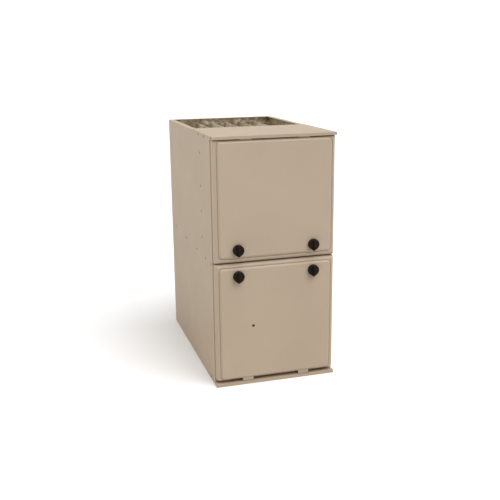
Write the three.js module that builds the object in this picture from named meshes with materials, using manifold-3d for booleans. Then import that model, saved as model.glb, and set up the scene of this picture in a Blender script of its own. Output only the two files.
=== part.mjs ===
// Upflow condensing forced air gas furnace: sheet steel casing, two lift-off doors held by
// quarter-turn knobs, burners and heat exchanger above the blower shelf, blower below it.
// Millimetres. +X right, +Y back, +Z up. The origin is the centre of the base, on the floor.

import * as THREE from 'three';
import { mergeVertices } from 'three/addons/utils/BufferGeometryUtils.js';
import Module from 'manifold-3d';

const wasm = await Module();
wasm.setup();

// ---------------------------------------------------------------- driving dimensions

const gap = 0.3; // between pieces that touch
const skin = 1.2; // sheet steel

const casing = {
  width: 444.5,
  depth: 749.3, // over the doors
  height: 889,
  frontReturn: 18,
  supplyFlange: 20,
  baseFlange: 30,
};

const door = {
  sideInset: 2.75, // each side, inside the casing's width
  depth: 24, // rim to rear edge
  raise: 4.5, // raised panel in front of the rim
  rim: 14, // flat margin round the raised panel
  upperRim: 4.5, // the same at the upper door's top
  lowerRim: 2, // and at the lower door's foot
  bevel: 3,
  panelCorner: 9,
  corner: 3,
  splitHeight: 452,
  splitGap: 4.5,
  lowerEdge: 22.5,
};

const doorTab = {
  spread: 105, // from the centre line
  width: 40,
  height: 7, // upper tabs, above the door
  setBack: 1.5, // upper tabs, behind the rim plane
  foot: 4, // lower ends of the lower tabs
};

const doorPad = {
  thick: 12,
  edge: 22, // from the door's edges
};

const sightPort = {
  x: -85,
  z: 220,
  radius: 5,
};

const knob = {
  radius: 19.5,
  tip: 24,
  thickness: 14,
  bevel: 2,
  gripWidth: 8,
  gripHeight: 7,
  spread: 137.5, // from the centre line
  above: 48, // the split between the doors
  below: 46,
  stem: 4,
  barLength: 24,
  barWidth: 7,
  barThick: 4,
  slotWidth: 11,
  slotHeight: 32,
};

const topPanel = {
  rearEdge: -60, // front edge of the supply air opening
  lip: 10,
  lipReturn: 4,
  rearFlange: 12,
  doorGap: 1.7,
};

const baseRail = {
  height: 11,
  upstand: 36,
  sill: 22,
};

const latchRail = {
  reach: 68, // above and below the split between the doors
  flange: 12,
};

const shelfFlange = 16;

const cellPanel = {
  y: -190, // front face
  flange: 14,
};

const linerThick = 10;

const cells = {
  count: 5,
  pitch: 60,
  halfThick: 20,
  webHalf: 2,
  turnBulge: 0.75, // share of the bulge left where the gas turns back
  pinch: 0.68, // share of the bulge left at a dimple
  top: 875,
  bottom: 616,
  passes: 3,
  length: 500,
  stations: 10,
  rows: 6,
  inletRadius: 18,
  inletDepth: 24,
};

const coil = {
  width: 330,
  bottom: 492,
  height: 84,
  fins: 11,
  finGap: 10,
  finDepth: 9,
};

const header = {
  width: 316,
  depth: 26,
  lap: 12, // over the edges of the coil's window
  couplingDepth: 38,
  pad: 2, // raised seat for the inducer
  nippleY: -204,
  nipple: 6,
  drainX: 130,
  tap: 3,
  tapX: -138,
};

const burner = {
  length: 88,
  mouth: 15,
  throat: 8.5,
  bell: 13,
  wall: 1.2,
};

const burnerBox = {
  width: 318,
  height: 66,
  depth: 112,
  mouthSetBack: 3,
};

const igniter = {
  y: -202,
  body: 6,
};

const sensor = {
  body: 4.5,
  rod: 1.5,
};

const rollout = {
  spread: 60,
  y: -240,
  height: 9,
  seat: 3,
  button: 2.2,
  travel: 1.5,
};

const limit = {
  x: 60,
  z: 706,
};

const manifold = {
  radius: 10.5,
  ahead: 19, // of the burner box
  bendX: 146,
  spud: 5,
  clear: 2, // from a spud to its burner's mouth
};

const gasValve = {
  width: 78,
  depth: 54,
  height: 66,
  drop: 62, // its top below the burners' axes
  neck: 8,
  boss: 15,
  bossLength: 20,
  seat: 10,
  entry: 20, // hole in the casing
};

const inducer = {
  x: -40,
  z: 538,
  volute: 74, // largest radius
  start: 54, // smallest radius
  cutoff: (40 * Math.PI) / 180,
  depth: 46,
  wall: 2.5,
  eye: 20,
  duct: 78,
  collar: 20,
  outlet: 22,
  wheel: 45,
  wheelWidth: 28,
  blades: 12,
  shaft: 4,
  reach: 106, // of the shaft, in front of the housing's back
  leg: 8,
  core: 26,
  fan: 29,
  fanWidth: 8,
  fanPitch: 0.6,
};

const vent = {
  wall: 3,
  rubber: 3.5,
  sleeve: 42,
  hole: 24.5,
};

const pressure = {
  x: -70,
  z: 690,
  radius: 30,
  depth: 22,
  nipple: 9,
};

const trap = {
  width: 44,
  depth: 62,
  height: 50,
  low: 458,
  inletZ: 484,
  drainZ: 478,
  boss: 9,
  entry: 12,
  y: -269,
};

const wiring = {
  width: 60,
  depth: 56,
  height: 66,
  low: 640,
  y: -240,
};

const blower = {
  y: 62,
  z: 214,
  wheel: 127, // outer radius
  bladeDepth: 19,
  bladeLead: 0.17, // angle by which a blade's tip leads its heel
  bladeThick: 1.4,
  blades: 28,
  wheelWidth: 184,
  hub: 16,
  hubLength: 28,
  shaft: 6.5,
  width: 208,
  wall: 1.5,
  start: 140, // smallest scroll radius
  end: 190, // largest scroll radius
  throat: 48, // front wall of the outlet, from the shaft
  inlet: 106,
};

const blowerMotor = {
  radius: 68,
  length: 116,
  offset: 20, // from the wheel's centre plate
  bore: 60,
};

const controls = {
  left: -168,
  right: 62,
  low: 150,
  y: -318,
};

const controlsBoard = {
  x: -85,
  z: 214,
  width: 150,
  height: 112,
  post: 9,
  thick: 1.6,
};

const controlsTransformer = {
  x: 24,
  z: 200,
};

const doorSwitch = {
  x: 20,
  drop: 54, // below the cross rail's foot
  depth: 30,
  plunger: 3.5,
  engaged: 8,
  travel: 5,
};

// ---------------------------------------------------------------- places worked out from them

const upperKnobZ = door.splitHeight + knob.above;
const lowerKnobZ = door.splitHeight - knob.below;
const doorSwitchZ = door.splitHeight - latchRail.reach - doorSwitch.drop;
const halfWidth = casing.width / 2;
const faceY = -casing.depth / 2; // front of the raised panels and of the top lip
const rimY = faceY + door.raise;
const doorBackY = rimY + door.depth;
const frontY = doorBackY + gap;
const backY = casing.depth / 2;
const casingTop = casing.height - skin - gap;
const insideX = halfWidth - skin - gap;
const insideBackY = backY - skin - gap;
const railY = frontY + skin + gap; // front of what stands behind the casing's front returns
const shelfTop = door.splitHeight;
const capacitorHeight = 81;
const doorHalf = halfWidth - door.sideInset;
const upperDoorBottom = door.splitHeight + door.splitGap / 2;
const upperDoorTop = casing.height - topPanel.lip - topPanel.doorGap;
const lowerDoorTop = door.splitHeight - door.splitGap / 2;
const outletX = blower.width / 2 - blower.wall;
const outletFront = blower.y + blower.throat;
const outletRear = blower.y + blower.end;
const panelBackY = cellPanel.y + skin;
const cellX = Array.from({ length: cells.count }, (_, i) => (i - (cells.count - 1) / 2) * cells.pitch);
const passHeight = (cells.top - cells.bottom) / cells.passes;
const burnerZ = cells.top - passHeight / 2;
const burnerFront = cellPanel.y - gap - burnerBox.depth + burnerBox.mouthSetBack;
const manifoldY = cellPanel.y - gap - burnerBox.depth - manifold.ahead;
const valveX = manifold.bendX;
const valveY = manifoldY;
const valveTop = burnerZ - gasValve.drop;
const valveZ = valveTop - gasValve.height / 2;
const leverX = valveX - 18;
const leverZ = valveTop - gasValve.height + 22;
const ductZ = (inducer.volute + inducer.start * Math.sin(inducer.cutoff)) / 2;
const ventY = cellPanel.y - 2 * gap - header.depth - header.pad - inducer.depth / 2;
const ventZ = inducer.z + ductZ;
const trapY = trap.y;

// ---------------------------------------------------------------- solids

const grain = 1 / 1024; // vertices sit on this grid, so that flush faces are truly flush

// A closed geometry as a manifold, with its faces turned outwards.
function bodyOf(geometry) {
  const bare = geometry.clone();
  bare.deleteAttribute('normal');
  bare.deleteAttribute('uv');
  const merged = mergeVertices(bare, 1e-4);
  const points = merged.attributes.position.array.map((v) => Math.round(v / grain) * grain);
  const corners = [];
  let volume = 0;
  const a = new THREE.Vector3();
  const b = new THREE.Vector3();
  const c = new THREE.Vector3();
  for (let i = 0; i < merged.index.count; i += 3) {
    const [p, q, r] = [0, 1, 2].map((k) => merged.index.getX(i + k));
    if (p === q || q === r || r === p) continue;
    corners.push(p, q, r);
    a.fromArray(points, p * 3);
    b.fromArray(points, q * 3);
    c.fromArray(points, r * 3);
    volume += a.dot(b.cross(c));
  }
  if (volume < 0) {
    for (let i = 0; i < corners.length; i += 3) {
      [corners[i + 1], corners[i + 2]] = [corners[i + 2], corners[i + 1]];
    }
  }
  const mesh = new wasm.Mesh({ numProp: 3, vertProperties: points, triVerts: new Uint32Array(corners) });
  return new wasm.Manifold(mesh);
}

function geometryOf(body) {
  const mesh = body.getMesh();
  const geometry = new THREE.BufferGeometry();
  geometry.setAttribute('position', new THREE.BufferAttribute(new Float32Array(mesh.vertProperties), 3));
  geometry.setIndex(new THREE.BufferAttribute(new Uint32Array(mesh.triVerts), 1));
  geometry.computeVertexNormals();
  return geometry;
}

function join(...geometries) {
  return geometryOf(geometries.map(bodyOf).reduce((whole, piece) => whole.add(piece)));
}

function cut(geometry, ...tools) {
  return geometryOf(tools.map(bodyOf).reduce((whole, tool) => whole.subtract(tool), bodyOf(geometry)));
}

function block(x0, x1, y0, y1, z0, z1) {
  const box = new THREE.BoxGeometry(x1 - x0, y1 - y0, z1 - z0);
  return box.translate((x0 + x1) / 2, (y0 + y1) / 2, (z0 + z1) / 2);
}

// Cylinders along each axis, from one end to the other, through a point.
function rodX(radius, x0, x1, y, z, sides = 18) {
  const rod = new THREE.CylinderGeometry(radius, radius, x1 - x0, sides);
  return rod.rotateZ(Math.PI / 2).translate((x0 + x1) / 2, y, z);
}

function rodY(radius, y0, y1, x, z, sides = 18) {
  return new THREE.CylinderGeometry(radius, radius, y1 - y0, sides).translate(x, (y0 + y1) / 2, z);
}

function rodZ(radius, z0, z1, x, y, sides = 18) {
  const rod = new THREE.CylinderGeometry(radius, radius, z1 - z0, sides);
  return rod.rotateX(Math.PI / 2).translate(x, y, (z0 + z1) / 2);
}

function outline(points) {
  return new THREE.Shape(points.map(([x, y]) => new THREE.Vector2(x, y)));
}

function roundedRect(x0, x1, y0, y1, radius) {
  const shape = new THREE.Shape();
  shape.moveTo(x0 + radius, y0);
  shape.lineTo(x1 - radius, y0);
  shape.absarc(x1 - radius, y0 + radius, radius, -Math.PI / 2, 0);
  shape.absarc(x1 - radius, y1 - radius, radius, 0, Math.PI / 2);
  shape.absarc(x0 + radius, y1 - radius, radius, Math.PI / 2, Math.PI);
  shape.absarc(x0 + radius, y0 + radius, radius, Math.PI, 1.5 * Math.PI);
  return shape;
}

function extruded(shape, depth, curveSegments, bevel = 0) {
  return new THREE.ExtrudeGeometry(shape, {
    depth,
    curveSegments,
    bevelEnabled: bevel > 0,
    bevelThickness: bevel,
    bevelSize: bevel,
    bevelOffset: -bevel,
    bevelSegments: 1,
  });
}

const alongX = new THREE.Matrix4().makeBasis(
  new THREE.Vector3(0, 1, 0), new THREE.Vector3(0, 0, 1), new THREE.Vector3(1, 0, 0));
const alongY = new THREE.Matrix4().makeBasis(
  new THREE.Vector3(1, 0, 0), new THREE.Vector3(0, 0, 1), new THREE.Vector3(0, -1, 0));

// Prisms: an outline in (y, z) run along X, in (x, z) run along Y, in (x, y) run along Z.
function prismX(shape, x0, x1, curveSegments = 4) {
  return extruded(shape, x1 - x0, curveSegments).applyMatrix4(alongX).translate(x0, 0, 0);
}

function prismY(shape, y0, y1, curveSegments = 4) {
  return extruded(shape, y1 - y0, curveSegments).applyMatrix4(alongY).translate(0, y1, 0);
}

function prismZ(shape, z0, z1, curveSegments = 4) {
  return extruded(shape, z1 - z0, curveSegments).translate(0, 0, z0);
}

// A profile of (radius, distance) points turned about the Y axis.
function turned(points, sides) {
  return new THREE.LatheGeometry(points.map(([r, y]) => new THREE.Vector2(r, y)), sides);
}

// A round rod along a curve.
function swept(path, radius, steps, sides) {
  const section = new THREE.Shape();
  for (let i = 0; i < sides; i += 1) {
    const angle = (2 * Math.PI * i) / sides;
    const x = radius * Math.cos(angle);
    const y = radius * Math.sin(angle);
    if (i === 0) section.moveTo(x, y);
    else section.lineTo(x, y);
  }
  section.closePath();
  return new THREE.ExtrudeGeometry(section, { steps, extrudePath: path, bevelEnabled: false });
}

function tube(points, radius, steps, sides) {
  const path = new THREE.CatmullRomCurve3(points.map((p) => new THREE.Vector3(...p)), false, 'centripetal');
  return swept(path, radius, steps, sides);
}

function piece(name, geometry, finish) {
  const mesh = new THREE.Mesh(geometryOf(bodyOf(geometry)), new THREE.MeshStandardMaterial(finish));
  mesh.name = name;
  return mesh;
}

const finishes = {
  enamel: { color: 0xb5a693, roughness: 0.45, metalness: 0.1 },
  doorEnamel: { color: 0xbaab9a, roughness: 0.42, metalness: 0.1 },
  galvanised: { color: 0xb4b6b4, roughness: 0.4, metalness: 0.9 },
  aluminised: { color: 0xa9a7a1, roughness: 0.38, metalness: 0.95 },
  foil: { color: 0xc9c9c4, roughness: 0.25, metalness: 0.95 },
  stainless: { color: 0xb8b6b2, roughness: 0.3, metalness: 1 },
  castAluminium: { color: 0xa2a39f, roughness: 0.5, metalness: 0.85 },
  blackPlastic: { color: 0x1b1712, roughness: 0.5, metalness: 0 },
  blackPaint: { color: 0x24221f, roughness: 0.55, metalness: 0.2 },
  greyPlastic: { color: 0x55575a, roughness: 0.6, metalness: 0 },
  rubber: { color: 0x201f1d, roughness: 0.85, metalness: 0 },
  clearTube: { color: 0xcfcabc, roughness: 0.35, metalness: 0 },
  blackPipe: { color: 0x33302c, roughness: 0.6, metalness: 0.6 },
  ceramic: { color: 0xe3ddcf, roughness: 0.8, metalness: 0 },
  redPlastic: { color: 0x9c2b20, roughness: 0.45, metalness: 0 },
  board: { color: 0x2e5a3c, roughness: 0.5, metalness: 0 },
  insulation: { color: 0xa8a69c, roughness: 0.8, metalness: 0.2 },
};

// ---------------------------------------------------------------- casing

// A flat U of sheet round the two sides and the back, as the top and base flanges are.
function flangeRing(width, frontEdge, z0, z1) {
  const outer = halfWidth - skin / 2;
  const innerX = halfWidth - width;
  return prismZ(outline([
    [-outer, frontEdge], [-outer, backY - skin / 2], [outer, backY - skin / 2], [outer, frontEdge],
    [innerX, frontEdge], [innerX, backY - width], [-innerX, backY - width], [-innerX, frontEdge],
  ]), z0, z1);
}

// Back and sides folded from one sheet, with front returns and top and base flanges.
function casingShell() {
  const returnX = halfWidth - casing.frontReturn;
  const wallX = halfWidth - skin;
  const wrap = prismZ(outline([
    [-returnX, frontY], [-halfWidth, frontY], [-halfWidth, backY], [halfWidth, backY],
    [halfWidth, frontY], [returnX, frontY], [returnX, frontY + skin], [wallX, frontY + skin],
    [wallX, backY - skin], [-wallX, backY - skin], [-wallX, frontY + skin],
    [-returnX, frontY + skin],
  ]), 0, casingTop);
  const shell = join(
    wrap,
    flangeRing(casing.supplyFlange, frontY + skin / 2, casingTop - skin, casingTop),
    flangeRing(casing.baseFlange, frontY + baseRail.sill + gap, 0, skin),
  );
  const reach = 4;
  return cut(
    shell,
    block(-wallX, wallX, frontY - 1, frontY + skin + gap, -1, baseRail.height + gap),
    rodX(vent.hole, wallX - reach, halfWidth + reach, ventY, ventZ),
    rodX(gasValve.entry, wallX - reach, halfWidth + reach, valveY, valveZ),
    rodX(trap.entry, wallX - reach, halfWidth + reach, trapY, trap.drainZ, 16),
    block(-halfWidth - 1, halfWidth + 1, frontY - 1, topPanel.rearEdge + gap,
      casingTop - gap, casingTop + 1),
  );
}

// Covers the vestibule, stops at the supply air opening and laps over the upper door.
function topPanelSheet() {
  const top = casing.height;
  const under = top - skin;
  const foot = top - topPanel.lip;
  const lipBack = faceY + skin + topPanel.lipReturn;
  const sheet = prismX(outline([
    [faceY, foot], [lipBack, foot], [lipBack, foot + skin], [faceY + skin, foot + skin],
    [faceY + skin, under], [topPanel.rearEdge, under], [topPanel.rearEdge, top], [faceY, top],
  ]), -halfWidth, halfWidth);
  const flangeX = halfWidth - casing.supplyFlange - gap;
  const rear = topPanel.rearEdge;
  const rearFlange = block(-flangeX, flangeX, rear - skin, rear, top - topPanel.rearFlange, top - skin / 2);
  const ends = [-1, 1].map((side) => {
    const x = side * (halfWidth - skin / 2);
    return block(x - skin / 2, x + skin / 2, faceY, frontY - gap, foot, top);
  });
  return join(sheet, rearFlange, ...ends);
}

// Channel along the foot of the front, with an upstand behind the lower door and two
// slots in its ledge that take the door's tabs.
function baseRailChannel() {
  const h = baseRail.height;
  const rear = frontY - gap;
  const channel = prismX(outline([
    [faceY, 0], [rear, 0], [rear, skin], [faceY + skin, skin], [faceY + skin, h - skin],
    [rear, h - skin], [rear, h], [faceY, h],
  ]), -halfWidth, halfWidth);
  const lap = 3;
  const ledge = prismX(outline([
    [rear - lap, h - skin], [railY + skin, h - skin], [railY + skin, baseRail.upstand],
    [railY, baseRail.upstand], [railY, h], [rear - lap, h],
  ]), -insideX, insideX);
  const sill = block(-insideX, insideX, rear - lap, frontY + baseRail.sill, 0, skin);
  const ends = [-1, 1].map((side) => {
    const x = side * (halfWidth - skin / 2);
    return block(x - skin / 2, x + skin / 2, faceY, rear, 0, h);
  });
  const slots = [-1, 1].map((side) => {
    const x = side * doorTab.spread;
    const half = doorTab.width / 2 + 1;
    return block(x - half, x + half, faceY + skin + gap, rimY + 2.8, h - skin - 1, h + 1);
  });
  return cut(join(channel, ledge, sill, ...ends), ...slots);
}

// Deck between the blower and the heat exchanger, open above the blower's outlet.
function blowerShelf() {
  const front = railY + skin + gap;
  const low = shelfTop - shelfFlange;
  const tray = block(-insideX, insideX, front, insideBackY, low, shelfTop);
  const under = block(-insideX + skin, insideX - skin, front - 1, insideBackY - skin, low - 1, shelfTop - skin);
  const clear = latchRail.flange;
  const nose = block(-insideX - 1, insideX + 1, front - 1, front + clear, low - 1, shelfTop - skin);
  const outlet = block(-outletX, outletX, outletFront, outletRear, shelfTop - skin - 1, shelfTop + 1);
  return cut(tray, under, nose, outlet);
}

// Cross rail behind both doors: its slots take the crossbars of the four knobs.
function latchRailChannel() {
  const low = door.splitHeight - latchRail.reach;
  const high = door.splitHeight + latchRail.reach;
  const rear = railY + latchRail.flange;
  const channel = prismX(outline([
    [railY, low], [rear, low], [rear, low + skin], [railY + skin, low + skin],
    [railY + skin, high - skin], [rear, high - skin], [rear, high], [railY, high],
  ]), -insideX, insideX);
  const slots = [];
  for (const z of [lowerKnobZ, upperKnobZ]) {
    for (const x of [-knob.spread, knob.spread]) {
      const halfW = knob.slotWidth / 2;
      const halfH = knob.slotHeight / 2;
      slots.push(block(x - halfW, x + halfW, railY - 1, railY + skin + 1, z - halfH, z + halfH));
    }
  }
  return cut(channel, ...slots);
}

// Wall between the vestibule and the hot air, with the cells' inlets and the coil's window.
function cellPanelSheet() {
  const low = shelfTop + gap;
  const high = casingTop - skin - gap;
  const front = cellPanel.y;
  const plate = block(-insideX, insideX, front, panelBackY, low, high);
  const sides = [-1, 1].map((side) => {
    const x = side * (insideX - skin / 2);
    return block(x - skin / 2, x + skin / 2, front - cellPanel.flange, panelBackY, low, high);
  });
  const top = block(-insideX, insideX, front - cellPanel.flange, panelBackY, high - skin, high);
  const inlets = cellX.map((x) => {
    return rodY(cells.inletRadius + 1.5, front - 2, panelBackY + 2, x, burnerZ, 14);
  });
  const windowX = header.width / 2 - header.lap;
  const window = block(-windowX, windowX, front - 2, panelBackY + 2,
    coil.bottom + header.lap, coil.bottom + coil.height - header.lap);
  return cut(join(plate, ...sides, top), window, ...inlets);
}

// Foil-faced insulation folded round the sides and back of the hot air space.
function linerWrap() {
  const front = panelBackY + gap;
  const x = insideX - linerThick;
  const y = insideBackY - linerThick;
  return prismZ(outline([
    [-insideX, front], [-insideX, insideBackY], [insideX, insideBackY], [insideX, front],
    [x, front], [x, y], [-x, y], [-x, front],
  ]), shelfTop + gap, casingTop - skin - gap);
}

// ---------------------------------------------------------------- doors and knobs

// The door's raised panel, from the rim plane forwards, its edges bevelled.
function raisedPanel(halfX, z0, z1, shrink, frontPlane, rearPlane) {
  const shape = roundedRect(-halfX + shrink, halfX - shrink, z0 + shrink, z1 - shrink,
    door.panelCorner - shrink);
  const depth = rearPlane - frontPlane;
  const raised = new THREE.ExtrudeGeometry(shape, {
    depth: depth - door.bevel,
    curveSegments: 3,
    bevelEnabled: true,
    bevelThickness: door.bevel,
    bevelSize: door.bevel,
    bevelOffset: -door.bevel,
    bevelSegments: 1,
  });
  raised.applyMatrix4(alongY).translate(0, rearPlane, 0);
  return raised;
}

// A shallow pan of sheet with a raised middle; cuts are the holes through its face.
function doorPan(bottom, top, panelBottom, panelTop, tabs, cuts) {
  const panelX = doorHalf - door.rim;
  const pan = prismY(roundedRect(-doorHalf, doorHalf, bottom, top, door.corner), rimY, doorBackY, 2);
  const hollow = prismY(
    roundedRect(-doorHalf + skin, doorHalf - skin, bottom + skin, top - skin, door.corner - skin),
    rimY + skin, doorBackY + 1, 2);
  const raised = raisedPanel(panelX, panelBottom, panelTop, 0, faceY, rimY + skin);
  const raisedHollow = raisedPanel(panelX, panelBottom, panelTop, skin, faceY + skin, rimY + 2 * skin);
  return cut(join(pan, raised, ...tabs), hollow, raisedHollow, ...cuts);
}

function upperDoorPan() {
  const z = upperDoorTop;
  const tabs = [-1, 1].map((side) => {
    const x = side * doorTab.spread;
    const half = doorTab.width / 2;
    return block(x - half, x + half, rimY + doorTab.setBack, rimY + doorTab.setBack + skin,
      z - skin, z + doorTab.height);
  });
  const holes = knobHoles(upperKnobZ);
  return doorPan(upperDoorBottom, z, upperDoorBottom + door.rim + 2, z - door.upperRim, tabs, holes);
}

function lowerDoorPan() {
  const tabs = [-1, 1].map((side) => {
    const x = side * doorTab.spread;
    const half = doorTab.width / 2;
    return block(x - half, x + half, rimY, rimY + skin, doorTab.foot, door.lowerEdge + door.corner);
  });
  const port = rodY(sightPort.radius, faceY - 1, rimY + skin, sightPort.x, sightPort.z, 12);
  const holes = knobHoles(lowerKnobZ);
  return doorPan(door.lowerEdge, lowerDoorTop, door.lowerEdge + door.lowerRim,
    lowerDoorTop - door.rim, tabs, [port, ...holes]);
}

function knobHoles(z) {
  return [-1, 1].map((side) => {
    return rodY(knob.stem + 2 * gap, faceY - 1, rimY + skin, side * knob.spread, z, 8);
  });
}

// Blanket glued inside the upper door, cut back from the knobs and the door's edges.
function doorBlanket() {
  const x = doorHalf - doorPad.edge;
  const front = faceY + skin + gap;
  const low = upperKnobZ + knob.radius + doorPad.edge;
  return block(-x, x, front, front + doorPad.thick, low, upperDoorTop - doorPad.edge);
}

// Teardrop knob with a raised grip, a stem through the door and a crossbar for the slot.
// Its origin is on its axis, at the front of the door's raised panel.
function knobPiece() {
  const shape = new THREE.Shape();
  const spread = Math.acos(knob.radius / knob.tip);
  const down = -Math.PI / 2;
  shape.moveTo(knob.radius * Math.cos(down + spread), knob.radius * Math.sin(down + spread));
  shape.absarc(0, 0, knob.radius, down + spread, down - spread + 2 * Math.PI, false);
  shape.lineTo(0, -knob.tip);
  const head = extruded(shape, knob.thickness - 2 * knob.bevel, 8, knob.bevel);
  head.applyMatrix4(alongY).translate(0, -gap - knob.bevel, 0);
  const front = -gap - knob.thickness;
  const gripX = knob.gripWidth / 2;
  const grip = prismY(
    roundedRect(-gripX, gripX, -knob.radius + 4, knob.radius - 3, gripX - 0.5),
    front - knob.gripHeight, front + 2, 2);
  const plateBack = railY + skin + gap - faceY;
  const stem = rodY(knob.stem, -1, plateBack + knob.barThick, 0, 0, 8);
  const barX = knob.barWidth / 2;
  const barZ = knob.barLength / 2;
  const bar = prismY(roundedRect(-barX, barX, -barZ, barZ, 2), plateBack, plateBack + knob.barThick, 1);
  return join(head, grip, stem, bar);
}

// ---------------------------------------------------------------- blower, about its shaft

// Scroll outline in (y, z): a spiral from the throat round to the outlet's back wall.
function scrollOutline(offset, top) {
  const steps = 17;
  const throat = blower.throat - offset;
  const from = Math.acos(throat / (blower.start + offset));
  const points = [];
  for (let i = 0; i <= steps; i += 1) {
    const share = i / steps;
    const angle = from + share * (2 * Math.PI - from);
    const r = blower.start + (blower.end - blower.start) * share + offset;
    points.push([r * Math.cos(angle), r * Math.sin(angle)]);
  }
  points.push([blower.end + offset, top], [throat, top]);
  return outline(points);
}

const eyeSides = 22;

// Curved inlet ring, seated in a side plate at x, its bell facing out.
function inletRing(side) {
  const bell = 12;
  const plate = blower.width / 2 + 1;
  const profile = [];
  const arc = (radius, from, to) => {
    for (let i = 0; i <= 2; i += 1) {
      const angle = from + ((to - from) * i) / 2;
      profile.push([
        blower.inlet + bell + radius * Math.cos(angle),
        side * (plate - bell + radius * Math.sin(angle)),
      ]);
    }
  };
  arc(bell, Math.PI, Math.PI / 2);
  arc(bell - skin, Math.PI / 2, Math.PI);
  profile.push([...profile[0]]);
  return turned(profile, eyeSides).rotateZ(-Math.PI / 2);
}

function blowerHousing() {
  const half = blower.width / 2;
  const top = shelfTop - skin - gap - blower.z;
  const outer = prismX(scrollOutline(blower.wall, top), -half, half);
  const hollow = prismX(scrollOutline(0, top + 5), -half + blower.wall, half - blower.wall);
  const lap = 12;
  const flange = block(-half - lap, half + lap, blower.throat - blower.wall - lap,
    blower.end + blower.wall + lap, top - skin, top);
  const eyes = rodX(blower.inlet + 6, -half - 1, half + 1, 0, 0, eyeSides);
  return join(cut(join(outer, flange), hollow, eyes), inletRing(-1), inletRing(1));
}

// One forward-curved blade: an arc of sheet whose tip leads in the turning direction.
function wheelBlade(angle) {
  const steps = 2;
  const inner = blower.wheel - blower.bladeDepth;
  const depth = blower.bladeDepth - 1;
  const sides = [[], []];
  for (let i = 0; i <= steps; i += 1) {
    const share = i / steps;
    const r = inner + depth * share;
    const lead = angle + blower.bladeLead * share ** 1.8;
    const half = blower.bladeThick / 2 / r;
    sides[0].push([r * Math.cos(lead - half), r * Math.sin(lead - half)]);
    sides[1].push([r * Math.cos(lead + half), r * Math.sin(lead + half)]);
  }
  const reach = blower.wheelWidth / 2 - 1;
  return prismX(outline([...sides[0], ...sides[1].reverse()]), -reach, reach);
}

function blowerWheel() {
  const ringWidth = 3;
  const half = blower.wheelWidth / 2;
  const inner = blower.wheel - blower.bladeDepth - 1;
  const rings = [-1, 1].map((side) => {
    const x0 = side * half;
    const x1 = side * (half - ringWidth);
    const profile = [[inner, x0], [blower.wheel, x0], [blower.wheel, x1], [inner, x1], [inner, x0]];
    return turned(profile, blower.blades).rotateZ(-Math.PI / 2);
  });
  const hub = blower.hubLength / 2;
  const plate = rodX(inner + 3, -1, 1, 0, 0, blower.blades);
  const boss = rodX(blower.hub, -hub, hub, 0, 0, 14);
  const bore = rodX(blower.shaft + gap, -hub - 1, hub + 1, 0, 0, 12);
  const blades = [];
  for (let i = 0; i < blower.blades; i += 1) {
    blades.push(wheelBlade((2 * Math.PI * i) / blower.blades));
  }
  return cut(join(plate, boss, ...blades, ...rings), bore);
}

function blowerShaft() {
  const far = blowerMotor.offset + blowerMotor.bore - 1;
  return rodX(blower.shaft, -blower.hubLength / 2 - 6, far, 0, 0, 12);
}

const motorSides = 24;

// Motor in the right-hand eye of the wheel, its shell closed by two domed end bells.
function blowerMotorBody() {
  const near = blowerMotor.offset;
  const far = near + blowerMotor.length;
  const bore = blower.shaft + gap;
  const boss = 20;
  const r = blowerMotor.radius;
  const profile = [
    [0, near + blowerMotor.bore], [bore, near + blowerMotor.bore], [bore, near], [boss, near],
    [boss + 2, near + 4], [r - 12, near + 7], [r, near + 14], [r, far - 14], [r - 12, far - 7],
    [boss + 2, far - 4], [boss, far], [0, far],
  ];
  const shell = turned(profile, motorSides).rotateZ(-Math.PI / 2);
  const slots = [];
  const slotCount = 4;
  for (let i = 0; i < slotCount; i += 1) {
    const slot = block(far - 12, far + 1, -4, 4, boss + 12, r - 14);
    slots.push(slot.rotateX((2 * Math.PI * (i + 0.5)) / slotCount));
  }
  return cut(shell, ...slots);
}

// Belly band round the motor with three arms out to the housing's side plate.
function motorMount() {
  const plate = blower.width / 2 + gap;
  const inner = blowerMotor.radius + gap;
  const armX = plate + 3;
  const bandWidth = 22;
  const band = turned([
    [inner, armX - 5], [inner + 2.5, armX - 5], [inner + 2.5, armX - 5 + bandWidth],
    [inner, armX - 5 + bandWidth], [inner, armX - 5],
  ], motorSides).rotateZ(-Math.PI / 2);
  const arms = [];
  const end = blower.inlet + 28;
  for (let i = 0; i < 3; i += 1) {
    const turn = (2 * Math.PI * i) / 3;
    arms.push(block(armX, armX + 3, -8, 8, inner + 0.5, end).rotateX(turn));
    arms.push(block(plate, armX + 3, -8, 8, end - 12, end).rotateX(turn));
  }
  return join(band, ...arms);
}

// Oval can with two blade terminals, strapped to the housing's left side plate.
function runCapacitor() {
  const can = prismZ(roundedRect(-16, 16, -25, 25, 15), 0, capacitorHeight - 9, 3);
  const blades = [-9, 9].map((y) => block(-3, 3, y - 0.5, y + 0.5,
    capacitorHeight - 10, capacitorHeight));
  const strap = prismZ(roundedRect(-17, 16, -26, 26, 15), 30, 44, 3);
  const ears = block(13.5, 16, -36, 36, 30, 44);
  return join(can, strap, ears, ...blades);
}

// ---------------------------------------------------------------- blower compartment controls

// Folded plate hung from the cross rail: it carries the board, transformer and switch.
function controlBracket() {
  const { left, right, low, y } = controls;
  const high = door.splitHeight - latchRail.reach - gap;
  const plate = block(left, right, y, y + skin, low, high);
  const top = block(left, right, railY + 3, y + skin, high - skin, high);
  const sides = [left, right - skin].map((x) => block(x, x + skin, y, y + 14, low, high));
  return join(plate, top, ...sides);
}

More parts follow.
